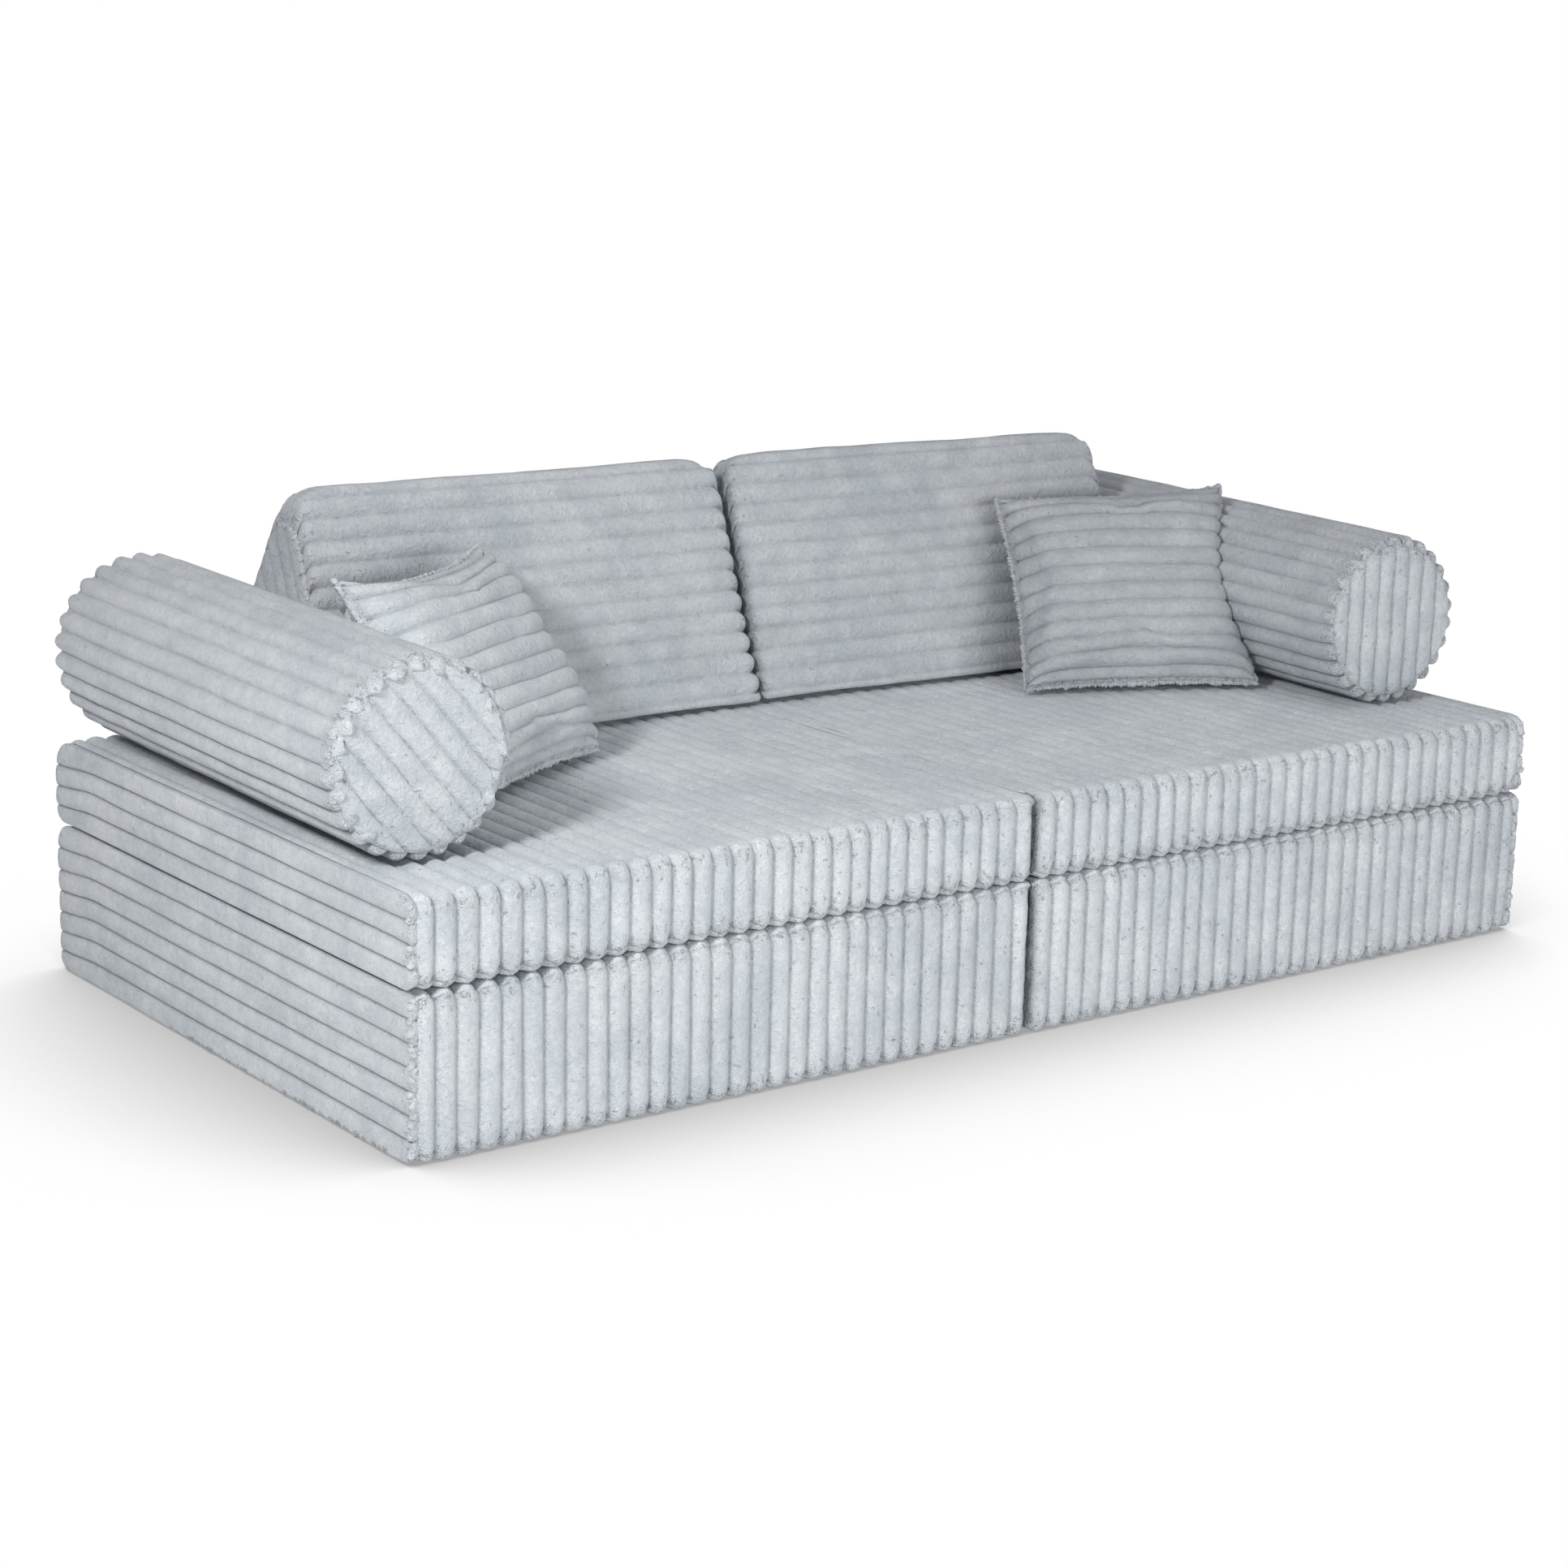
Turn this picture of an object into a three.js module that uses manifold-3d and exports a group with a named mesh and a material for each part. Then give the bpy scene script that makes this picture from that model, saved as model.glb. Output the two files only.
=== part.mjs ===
// Modular foam play sofa: two base blocks, a fold-up seat mattress in two halves,
// two wedge back cushions, two round bolsters and two throw pillows.
// Every module is a quilted plush cover over its own filling, closed by a zip.
// Millimetres, +X to the sitter's left as seen from the front, +Y to the back, +Z up.

import * as THREE from 'three';
import { mergeVertices } from 'three/addons/utils/BufferGeometryUtils.js';
import Module from 'manifold-3d';

const wasm = await Module();
wasm.setup();

// Whole sofa
const sofaWidth = 1680;
const sofaDepth = 857;
const baseHeight = 187;
const seatHeight = 103.5;

// Clearances
const touchGap = 0.3;
const seamGap = 2 * touchGap;
const overrun = 5;

// Quilted plush cover
const ribPitch = 27;
const ribDepth = 5;
const coverLining = 4;
const blockEdge = 14;
const endDrawIn = 8;
const panelBulge = 4;
const panelValley = 1;
const panelInset = 6;

// Wedge back cushion
const wedgeWidth = 622;
const wedgeHeight = 311;
const wedgeFrontLean = 21.35;
const wedgeBackLean = 33;
const wedgeTopRadius = 25;
const wedgeFootRadius = 14;
const wedgeEndDrawIn = 12;
const wedgeEndRun = 34;

// Round bolster
const bolsterLength = 716;
const bolsterRadius = 112.5;
const bolsterSides = 20;

// Throw pillow
const pillowWidth = 335;
const pillowHeight = 300;
const pillowThickness = 112;
const pillowDrawIn = 18;
const pillowEdge = 10;
const pillowCover = 10;
const pillowLining = 2;
const pillowAcrossShares = [-1, -0.85, -0.6, 0.6, 0.85, 1];
const pillowInsertShares = [-1, -0.8, -0.45, 0, 0.45, 0.8, 1];
const pillowZipShare = -0.6;

// Zip and its slider
const slotWidth = 18;
const tapeThickness = 1.5;
const chainWidth = 6;
const chainHeight = 2.5;
const zipStop = 5;
const sliderLength = 15;
const sliderWidth = 12;
const tabLength = 22;
const tabWidth = 5.4;
const tabThickness = 1.4;
const tabHoleRadius = 1.4;
const tabHoleSides = 8;
const blockZipLength = 540;
const wedgeZipLength = 420;
const wedgeZipHeight = 62;
const bolsterZipLength = 480;
const bolsterZipAngle = 225;
const pillowZipLength = 160;

// Fabric hinge of the seat mattress
const hingeRadius = 7;
const hingeRise = 1.2;
const hingeSink = 0.5;
const hingeSides = 24;

// Where the loose modules stand, from the middle of the base
const bolsterLeftPlace = { x: -749.5, y: 38, turn: -1.7 };
const bolsterRightPlace = { x: 751.7, y: 72, turn: -3.8 };
const wedgeLeftPlace = { x: -300, y: 122, turn: 0 };
const wedgeRightPlace = { x: 328.5, y: 112, turn: -2.5 };
const pillowLeftPlace = { x: -507, y: 0, turn: 30, lean: 35.5 };
const pillowRightPlace = { x: 532, y: 23, turn: -23.7, lean: 37.4 };
const discTurnLeft = 40;
const discTurnRight = 0;

// Sizes that follow
const blockWidth = (sofaWidth - seamGap) / 2;
const seatLevel = baseHeight + touchGap;
const seatTop = seatLevel + seatHeight;
const looseLevel = seatTop + touchGap;
const blockRibs = Math.round(blockWidth / ribPitch);
const tapeFront = -ribDepth - touchGap;
const tapeBack = tapeFront - tapeThickness;
const chainFront = tapeFront + chainHeight;

const { degToRad } = THREE.MathUtils;

// Solids

function solidOf(geometry) {
  const shape = geometry.clone();
  shape.deleteAttribute('normal');
  shape.deleteAttribute('uv');
  const merged = mergeVertices(shape);
  const vertProperties = new Float32Array(merged.attributes.position.array);
  const triVerts = new Uint32Array(merged.index.array);
  return new wasm.Manifold(new wasm.Mesh({ numProp: 3, vertProperties, triVerts }));
}

function geometryOf(solid) {
  const { vertProperties, triVerts } = solid.getMesh();
  const geometry = new THREE.BufferGeometry();
  geometry.setAttribute('position', new THREE.BufferAttribute(vertProperties, 3));
  geometry.setIndex(new THREE.BufferAttribute(triVerts, 1));
  geometry.computeVertexNormals();
  return geometry;
}

// A closed solid through rings of points that run right-handed about the axis they stack along
function loft(rings, axis) {
  const size = rings[0].length;
  const points = rings.flat();
  const faces = [];
  for (let band = 0; band + 1 < rings.length; band += 1) {
    for (let i = 0; i < size; i += 1) {
      const here = band * size + i;
      const next = band * size + ((i + 1) % size);
      faces.push(here, next, next + size, here, next + size, here + size);
    }
  }
  const flatten = (point) => (
    axis === 'x' ? new THREE.Vector2(point.y, point.z) : new THREE.Vector2(point.x, point.y)
  );
  const last = (rings.length - 1) * size;
  const firstCap = THREE.ShapeUtils.triangulateShape(rings[0].map(flatten), []);
  const lastCap = THREE.ShapeUtils.triangulateShape(rings[rings.length - 1].map(flatten), []);
  firstCap.forEach(([a, b, c]) => faces.push(c, b, a));
  lastCap.forEach(([a, b, c]) => faces.push(last + a, last + b, last + c));
  const geometry = new THREE.BufferGeometry().setFromPoints(points);
  geometry.setIndex(faces);
  return solidOf(geometry);
}

function ringAt(x, outline) {
  return outline.map(([y, z]) => new THREE.Vector3(x, y, z));
}

function prism(outline, length) {
  return loft([ringAt(-length / 2, outline), ringAt(length / 2, outline)], 'x');
}

function placed(solid, matrix) {
  return solid.transform(matrix.toArray());
}

function moved(solid, x, y, z) {
  return placed(solid, new THREE.Matrix4().makeTranslation(x, y, z));
}

// Outlines, as [y, z] points that run anticlockwise

function rectangle(y0, z0, y1, z1) {
  return [[y0, z0], [y1, z0], [y1, z1], [y0, z1]];
}

function circle(radius, sides) {
  const points = [];
  for (let i = 0; i < sides; i += 1) {
    const angle = (2 * Math.PI * i) / sides;
    points.push([radius * Math.cos(angle), radius * Math.sin(angle)]);
  }
  return points;
}

// Moves each edge of an outline inwards by its own distance, edge i starting at point i
function insetEdges(outline, distances) {
  const normals = outline.map(([y, z], i) => {
    const [nextY, nextZ] = outline[(i + 1) % outline.length];
    return new THREE.Vector2(z - nextZ, nextY - y).normalize();
  });
  return outline.map(([y, z], i) => {
    const before = (i + outline.length - 1) % outline.length;
    const turn = normals[before].dot(normals[i]);
    const scale = 1 / (1 - turn * turn);
    const first = (distances[before] - turn * distances[i]) * scale;
    const second = (distances[i] - turn * distances[before]) * scale;
    return [
      y + first * normals[before].x + second * normals[i].x,
      z + first * normals[before].y + second * normals[i].y,
    ];
  });
}

// The same, for an outline whose first edge is its underside
function inset(outline, distance, undersideDistance) {
  return insetEdges(outline, outline.map((_, i) => (i === 0 ? undersideDistance : distance)));
}

// A slab of upright ribs facing +X, as sewn on the end of a module
function ribbedSlab(span, length) {
  const ribs = Math.round(span / ribPitch);
  const outline = [[-span / 2, -overrun], [span / 2, -overrun]];
  for (let i = 2 * ribs; i >= 0; i -= 1) {
    outline.push([(span * i) / (2 * ribs) - span / 2, i % 2 === 0 ? panelValley : panelBulge]);
  }
  const upright = new THREE.Matrix4().makeBasis(
    new THREE.Vector3(0, 0, -1),
    new THREE.Vector3(0, 1, 0),
    new THREE.Vector3(1, 0, 0),
  );
  return placed(prism(outline, length), upright);
}

// The end panel of a module at x, facing along side, its ribs turned about the X axis
function endPanel(outline, x, side, ribTurn) {
  const box = new THREE.Box2().setFromPoints(outline.map(([y, z]) => new THREE.Vector2(y, z)));
  const centre = box.getCenter(new THREE.Vector2());
  const reach = box.getSize(new THREE.Vector2()).length();
  const turn = new THREE.Matrix4().makeRotationX(degToRad(ribTurn));
  const across = ribTurn % 90 === 0 ? box.getSize(new THREE.Vector2()).y : reach;
  const span = ribTurn % 180 === 0 ? box.getSize(new THREE.Vector2()).x : across;
  const slab = moved(placed(ribbedSlab(span, reach), turn), 0, centre.x, centre.y);
  const panel = slab.intersect(prism(outline, 4 * overrun));
  const facing = new THREE.Matrix4().makeScale(side, 1, 1);
  return moved(placed(panel, facing), x, 0, 0);
}

// Sections of the modules

function blockOutline(height) {
  const front = -sofaDepth / 2;
  const back = sofaDepth / 2;
  return [
    [front, 0],
    [back, 0],
    [back, height - blockEdge],
    [back - blockEdge, height],
    [front + blockEdge, height],
    [front, height - blockEdge],
  ];
}

const frontLean = degToRad(wedgeFrontLean);
const backLean = degToRad(wedgeBackLean);
const wedgeTopZ = wedgeHeight - wedgeTopRadius;
const wedgeTopY = (wedgeTopRadius + wedgeTopZ * Math.sin(frontLean)) / Math.cos(frontLean);
const wedgeRun = (wedgeTopRadius + wedgeTopZ * Math.sin(backLean)) / Math.cos(backLean);
const wedgeDepth = wedgeTopY + wedgeRun;

// The straight-sided section that the foam is cut to fit
function wedgeCorners() {
  return [
    [0, 0],
    [wedgeDepth, 0],
    [wedgeDepth - wedgeHeight * Math.tan(backLean), wedgeHeight],
    [wedgeHeight * Math.tan(frontLean), wedgeHeight],
  ];
}

// Evenly spaced points from the back foot, over the rounded top, down to the front foot
function wedgeWrap() {
  const frontFoot = wedgeFootRadius / Math.tan((Math.PI / 2 - frontLean) / 2);
  const backFoot = wedgeFootRadius / Math.tan((Math.PI / 2 - backLean) / 2);
  const path = new THREE.Path();
  const footY = wedgeDepth - backFoot;
  path.absarc(footY, wedgeFootRadius, wedgeFootRadius, -Math.PI / 2, backLean);
  path.absarc(wedgeTopY, wedgeTopZ, wedgeTopRadius, backLean, Math.PI - frontLean);
  path.absarc(frontFoot, wedgeFootRadius, wedgeFootRadius, Math.PI - frontLean, 1.5 * Math.PI);
  const ribs = Math.round(path.getLength() / ribPitch);
  return path.getSpacedPoints(2 * ribs);
}

// Each module's outer form, cavity and filling

function blockShape(height) {
  const outline = blockOutline(height);
  const wrapWidth = blockWidth - 2 * panelBulge;
  const rings = [];
  for (let i = 0; i <= 2 * blockRibs; i += 1) {
    const x = (wrapWidth * i) / (2 * blockRibs) - wrapWidth / 2;
    const isEnd = i === 0 || i === 2 * blockRibs;
    const groove = isEnd ? endDrawIn : ribDepth;
    rings.push(ringAt(x, inset(outline, i % 2 === 0 ? groove : 0, 0)));
  }
  const panelOutline = inset(outline, endDrawIn, panelInset);
  const outer = loft(rings, 'x')
    .add(endPanel(panelOutline, wrapWidth / 2, 1, 90))
    .add(endPanel(panelOutline, -wrapWidth / 2, -1, 90));
  return { outer, ...filling(outline, blockWidth, endDrawIn + coverLining) };
}

function wedgeShape() {
  const wrap = wedgeWrap();
  const normals = wrap.map((_, i) => {
    const before = wrap[Math.max(i - 1, 0)];
    const after = wrap[Math.min(i + 1, wrap.length - 1)];
    return new THREE.Vector2(before.y - after.y, after.x - before.x).normalize();
  });
  normals[0].set(0, 1);
  normals[wrap.length - 1].set(0, 1);
  const ribbedRing = (x, drawIn) => ringAt(x, wrap.map((point, i) => {
    const isFoot = i === 0 || i === wrap.length - 1;
    const depth = isFoot ? 0 : drawIn + (i % 2 === 0 ? ribDepth : 0);
    return [point.x + depth * normals[i].x, point.y + depth * normals[i].y];
  }));
  const wrapWidth = wedgeWidth - 2 * panelBulge;
  const rings = [
    ribbedRing(-wrapWidth / 2, wedgeEndDrawIn),
    ribbedRing(wedgeEndRun - wrapWidth / 2, 0),
    ribbedRing(wrapWidth / 2 - wedgeEndRun, 0),
    ribbedRing(wrapWidth / 2, wedgeEndDrawIn),
  ];
  const corners = wedgeCorners();
  const panelOutline = inset(corners, wedgeEndDrawIn + ribDepth, panelInset);
  const outer = loft(rings, 'x')
    .add(endPanel(panelOutline, wrapWidth / 2, 1, -wedgeFrontLean))
    .add(endPanel(panelOutline, -wrapWidth / 2, -1, -wedgeFrontLean));
  return { outer, ...filling(corners, wedgeWidth, wedgeEndDrawIn + ribDepth + coverLining) };
}

function bolsterShape(discTurn) {
  const ribs = Math.round((2 * Math.PI * bolsterRadius) / ribPitch);
  const ribbedRing = (x, drawIn) => ringAt(x, circle(1, 2 * ribs).map(([y, z], i) => {
    const radius = bolsterRadius - drawIn - (i % 2 === 0 ? ribDepth : 0);
    return [y * radius, z * radius];
  }));
  const wrapLength = bolsterLength - 2 * panelBulge;
  const rings = [
    ribbedRing(-wrapLength / 2, endDrawIn),
    ribbedRing(endDrawIn - wrapLength / 2, 0),
    ribbedRing(wrapLength / 2 - endDrawIn, 0),
    ribbedRing(wrapLength / 2, endDrawIn),
  ];
  const disc = circle(bolsterRadius - ribDepth - endDrawIn, bolsterSides);
  const outer = loft(rings, 'x')
    .add(endPanel(disc, wrapLength / 2, 1, discTurn))
    .add(endPanel(disc, -wrapLength / 2, -1, discTurn));
  const wall = endDrawIn + ribDepth + coverLining;
  const core = (gap) => prism(
    circle(bolsterRadius - wall - gap, bolsterSides),
    bolsterLength - 2 * (wall + gap),
  );
  return { outer, cavity: core(0), foam: core(touchGap), wall };
}

// The foam block inside a cover, and the space that it lies in
function filling(outline, length, wall) {
  const core = (gap) => prism(
    inset(outline, wall + gap, coverLining + gap),
    length - 2 * (wall + gap),
  );
  return { cavity: core(0), foam: core(touchGap), wall };
}

// A point of the pillow: u across and v up run from -1 to 1, side is -1 in front and 1 behind
function pillowPoint(u, v, side, insetBy, edge, groove) {
  const halfWidth = pillowWidth / 2 - insetBy;
  const halfHeight = pillowHeight / 2 - insetBy;
  const halfThickness = pillowThickness / 2 - insetBy;
  const fullness = Math.sqrt((1 - u ** 4) * (1 - v ** 4));
  return new THREE.Vector3(
    u * (halfWidth - pillowDrawIn * (1 - v * v)),
    side * (edge / 2 + (halfThickness - edge / 2 - groove) * fullness),
    v * (halfHeight - pillowDrawIn * (1 - u * u)),
  );
}

function pillowRing(v, insetBy, edge, groove) {
  const inner = pillowAcrossShares.slice(1, -1);
  const front = inner.map((u) => pillowPoint(u, v, -1, insetBy, edge, groove));
  const back = inner.map((u) => pillowPoint(u, v, 1, insetBy, edge, groove));
  const leftEdge = pillowPoint(-1, v, 0, insetBy, edge, groove);
  const rightEdge = pillowPoint(1, v, 0, insetBy, edge, groove);
  return [leftEdge, ...front, rightEdge, ...back.reverse()];
}

function pillowShape() {
  const ribs = Math.round(pillowHeight / ribPitch);
  const rings = [];
  for (let i = 0; i <= 2 * ribs; i += 1) {
    const v = i / ribs - 1;
    rings.push(pillowRing(v, 0, pillowEdge, i % 2 === 0 ? ribDepth : 0));
  }
  const insert = (gap) => loft(
    pillowInsertShares.map((v) => pillowRing(v, pillowCover + gap, pillowLining - 2 * gap, 0)),
    'z',
  );
  return { outer: loft(rings, 'z'), cavity: insert(0), foam: insert(touchGap), wall: pillowCover };
}

// Zips lie along their own X axis, with +Y out of the cover and zero at the rib crests

function zipFrame(position, outward) {
  const along = new THREE.Vector3(1, 0, 0);
  const across = new THREE.Vector3().crossVectors(along, outward);
  return new THREE.Matrix4().makeBasis(along, outward, across).setPosition(position);
}

function zipSlot(length, wall) {
  const depth = wall + overrun;
  return prism(rectangle(-depth, -slotWidth / 2, overrun, slotWidth / 2), length);
}

function zipTape(length) {
  const edge = slotWidth / 2 - touchGap;
  const chain = chainWidth / 2;
  const outline = [
    [tapeBack, -edge],
    [tapeFront, -edge],
    [tapeFront, -chain],
    [chainFront, -chain],
    [chainFront, chain],
    [tapeFront, chain],
    [tapeFront, edge],
    [tapeBack, edge],
  ];
  return prism(outline, length - 2 * touchGap);
}

// A channel that straddles the chain, with its pull tab lying back along the chain
function zipSlider() {
  const foot = tapeFront + touchGap;
  const roof = chainFront + touchGap;
  const cheek = chainWidth / 2 + touchGap;
  const edge = sliderWidth / 2;
  const channel = [
    [foot, -edge],
    [0, -edge],
    [0, edge],
    [foot, edge],
    [foot, cheek],
    [roof, cheek],
    [roof, -cheek],
    [foot, -cheek],
  ];
  const tabBottom = roof + touchGap;
  const tabEdge = tabWidth / 2;
  const tabOutline = rectangle(tabBottom, -tabEdge, tabBottom + tabThickness, tabEdge);
  const tab = moved(prism(tabOutline, tabLength + overrun), (sliderLength + tabLength - overrun) / 2, 0, 0);
  const upright = new THREE.Matrix4().makeRotationZ(Math.PI / 2);
  const hole = placed(prism(circle(tabHoleRadius, tabHoleSides), 4 * overrun), upright);
  const holeX = sliderLength / 2 + tabLength - tabWidth / 2;
  return prism(channel, sliderLength).add(tab).subtract(moved(hole, holeX, 0, 0));
}

// Materials

function finish(color, roughness, metalness) {
  return () => new THREE.MeshStandardMaterial({ color, roughness, metalness });
}

const plush = finish('#c3c8ce', 0.95, 0);
const foamYellow = finish('#e9e2c4', 0.9, 0);
const fibreWhite = finish('#f2f2ee', 1, 0);
const zipGrey = finish('#b4b9bf', 0.7, 0);
const zincGrey = finish('#9a9da1', 0.35, 1);

function solidMesh(name, solid, material) {
  const mesh = new THREE.Mesh(geometryOf(solid), material());
  mesh.name = name;
  return mesh;
}

// A cover with its filling, zip and slider, in the module's own frame
function moduleGroup(name, shape, zip, insertName, insertMaterial) {
  const slot = placed(zipSlot(zip.length, shape.wall), zip.frame);
  const cover = shape.outer.subtract(shape.cavity).subtract(slot);
  const slider = solidMesh(`${name}_zip_slider`, zipSlider(), zincGrey);
  const tape = solidMesh(`${name}_zip`, zipTape(zip.length), zipGrey);
  const start = new THREE.Matrix4().makeTranslation((sliderLength - zip.length) / 2 + zipStop, 0, 0);
  slider.applyMatrix4(zip.frame.clone().multiply(start));
  tape.applyMatrix4(zip.frame);
  const group = new THREE.Group();
  group.add(solidMesh(`${name}_cover`, cover, plush));
  group.add(solidMesh(`${name}_${insertName}`, shape.foam, insertMaterial));
  group.add(tape, slider);
  return group;
}

function block(name, shape, height, side, level) {
  const position = new THREE.Vector3(0, sofaDepth / 2, height / 2);
  const zip = { length: blockZipLength, frame: zipFrame(position, new THREE.Vector3(0, 1, 0)) };
  const group = moduleGroup(name, shape, zip, 'foam', foamYellow);
  group.position.set((side * (blockWidth + seamGap)) / 2, 0, level);
  return group;
}

function wedge(name, place) {
  const outward = new THREE.Vector3(0, Math.cos(backLean), Math.sin(backLean));
  const y = wedgeDepth - wedgeZipHeight * Math.tan(backLean);
  const zip = {
    length: wedgeZipLength,
    frame: zipFrame(new THREE.Vector3(0, y, wedgeZipHeight), outward),
  };
  const group = moduleGroup(name, wedgeShape(), zip, 'foam', foamYellow);
  group.rotation.z = degToRad(place.turn);
  group.position.set(place.x, place.y, looseLevel);
  return group;
}

// A bolster lies along the side of the seat
function bolsterFrame(place) {
  const turn = Math.PI / 2 + degToRad(place.turn);
  const frame = new THREE.Matrix4().makeRotationZ(turn);
  return frame.setPosition(place.x, place.y, looseLevel + bolsterRadius);
}

function bolster(name, place, discTurn) {
  const angle = degToRad(bolsterZipAngle);
  const outward = new THREE.Vector3(0, Math.cos(angle), Math.sin(angle));
  const zip = {
    length: bolsterZipLength,
    frame: zipFrame(outward.clone().multiplyScalar(bolsterRadius), outward),
  };
  const group = moduleGroup(name, bolsterShape(discTurn), zip, 'foam', foamYellow);
  group.applyMatrix4(bolsterFrame(place));
  return group;
}

// A pillow leans back, turned about the upright axis, and stands on its lower corners
function pillowFrame(place, outer) {
  const lean = new THREE.Euler(-degToRad(place.lean), 0, degToRad(place.turn), 'ZXY');
  const frame = new THREE.Matrix4().makeRotationFromEuler(lean);
  const lowest = placed(outer, frame).boundingBox().min[2];
  return frame.setPosition(place.x, place.y, looseLevel - lowest);
}

// The pillow is pressed in where it leans on the bolster beside it
function pressedPillow(frame, shape, bolsterPlace) {
  const press = frame.clone().invert().multiply(bolsterFrame(bolsterPlace));
  const sides = 2 * bolsterSides;
  const dent = (depth) => {
    const radius = (bolsterRadius + depth) / Math.cos(Math.PI / sides);
    return placed(prism(circle(radius, sides), bolsterLength), press);
  };
  return {
    outer: shape.outer.subtract(dent(touchGap)),
    cavity: shape.cavity.subtract(dent(touchGap + shape.wall)),
    foam: shape.foam.subtract(dent(2 * touchGap + shape.wall)),
    wall: shape.wall,
  };
}

function pillow(name, place, bolsterPlace) {
  const flat = pillowAcrossShares[pillowAcrossShares.length - 3];
  const at = pillowPoint(flat, pillowZipShare, 1, 0, pillowEdge, 0);
  const above = pillowPoint(flat, pillowZipShare + 1 / pillowHeight, 1, 0, pillowEdge, 0);
  const upward = new THREE.Vector3(0, above.y - at.y, above.z - at.z);
  const outward = upward.cross(new THREE.Vector3(1, 0, 0)).negate().normalize();
  const zip = {
    length: pillowZipLength,
    frame: zipFrame(new THREE.Vector3(0, at.y, at.z), outward.y < 0 ? outward.negate() : outward),
  };
  const shape = pillowShape();
  const frame = pillowFrame(place, shape.outer);
  const pressed = pressedPillow(frame, shape, bolsterPlace);
  const group = moduleGroup(name, pressed, zip, 'insert', fibreWhite);
  group.applyMatrix4(frame);
  return group;
}

// The seat halves are cut back round the pivot, and the strip that joins them fills the groove
function pivotCylinder() {
  const acrossSofa = new THREE.Matrix4().makeRotationZ(Math.PI / 2);
  const length = sofaDepth + 2 * overrun;
  return placed(prism(circle(hingeRadius, hingeSides), length), acrossSofa);
}

function seatShape(side) {
  const shape = blockShape(seatHeight);
  const pivotX = (-side * (blockWidth + seamGap)) / 2;
  const groove = moved(pivotCylinder(), pivotX, 0, seatHeight + hingeRise);
  return { ...shape, outer: shape.outer.subtract(groove) };
}

function hingeStrip() {
  const top = -hingeRise - hingeSink;
  const radius = hingeRadius - touchGap;
  const below = circle(radius, hingeSides).filter(([, z]) => z < top);
  const corner = Math.sqrt(radius * radius - top * top);
  const outline = [[corner, top], [-corner, top], ...below];
  const acrossSofa = new THREE.Matrix4().makeRotationZ(Math.PI / 2);
  const strip = placed(prism(outline, sofaDepth - 4 * blockEdge), acrossSofa);
  const mesh = solidMesh('seat_hinge_strip', strip, plush);
  mesh.position.z = seatTop + hingeRise;
  return mesh;
}

// The whole sofa, with the middle of its footprint on the floor at the origin
function sofa() {
  const baseShape = blockShape(baseHeight);
  const group = new THREE.Group();
  group.add(
    block('base_left', baseShape, baseHeight, -1, 0),
    block('base_right', baseShape, baseHeight, 1, 0),
    block('seat_left', seatShape(-1), seatHeight, -1, seatLevel),
    block('seat_right', seatShape(1), seatHeight, 1, seatLevel),
    hingeStrip(),
    bolster('bolster_left', bolsterLeftPlace, discTurnLeft),
    bolster('bolster_right', bolsterRightPlace, discTurnRight),
    wedge('back_left', wedgeLeftPlace),
    wedge('back_right', wedgeRightPlace),
    pillow('pillow_left', pillowLeftPlace, bolsterLeftPlace),
    pillow('pillow_right', pillowRightPlace, bolsterRightPlace),
  );
  const middle = new THREE.Box3().setFromObject(group, true).getCenter(new THREE.Vector3());
  group.position.set(-middle.x, -middle.y, 0);
  return group;
}

const model = new THREE.Group();
model.add(sofa());

export default model;
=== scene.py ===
import math

import bmesh
import bpy
import numpy as np
from mathutils import Matrix, Vector


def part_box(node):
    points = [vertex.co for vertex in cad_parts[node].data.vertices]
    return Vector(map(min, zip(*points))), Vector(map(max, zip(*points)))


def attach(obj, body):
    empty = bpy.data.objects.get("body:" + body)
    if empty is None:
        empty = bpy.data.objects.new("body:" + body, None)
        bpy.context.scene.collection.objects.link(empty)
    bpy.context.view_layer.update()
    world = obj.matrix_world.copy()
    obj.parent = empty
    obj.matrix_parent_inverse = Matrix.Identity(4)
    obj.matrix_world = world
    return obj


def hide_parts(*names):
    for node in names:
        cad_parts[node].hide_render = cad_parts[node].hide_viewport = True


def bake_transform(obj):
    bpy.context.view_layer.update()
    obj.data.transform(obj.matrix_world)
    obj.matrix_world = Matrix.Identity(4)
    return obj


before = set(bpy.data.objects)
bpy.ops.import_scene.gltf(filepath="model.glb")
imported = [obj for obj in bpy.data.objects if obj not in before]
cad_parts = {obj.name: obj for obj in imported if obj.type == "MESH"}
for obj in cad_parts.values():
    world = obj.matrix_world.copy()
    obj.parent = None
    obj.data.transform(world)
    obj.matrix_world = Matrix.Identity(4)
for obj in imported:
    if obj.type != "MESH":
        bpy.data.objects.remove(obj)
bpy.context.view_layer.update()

MM = 0.001


# Camera: where the sofa is seen from, in metres and degrees

CAMERA_PLACE = (-2.485348, -3.263923, 1.203126)
CAMERA_AZIMUTH = -36.79
CAMERA_ELEVATION = 13.61
CAMERA_ROLL = 1.36
CAMERA_LENS = 76.35
CAMERA_SENSOR = 36.0
CAMERA_FAR = 50.0


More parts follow.
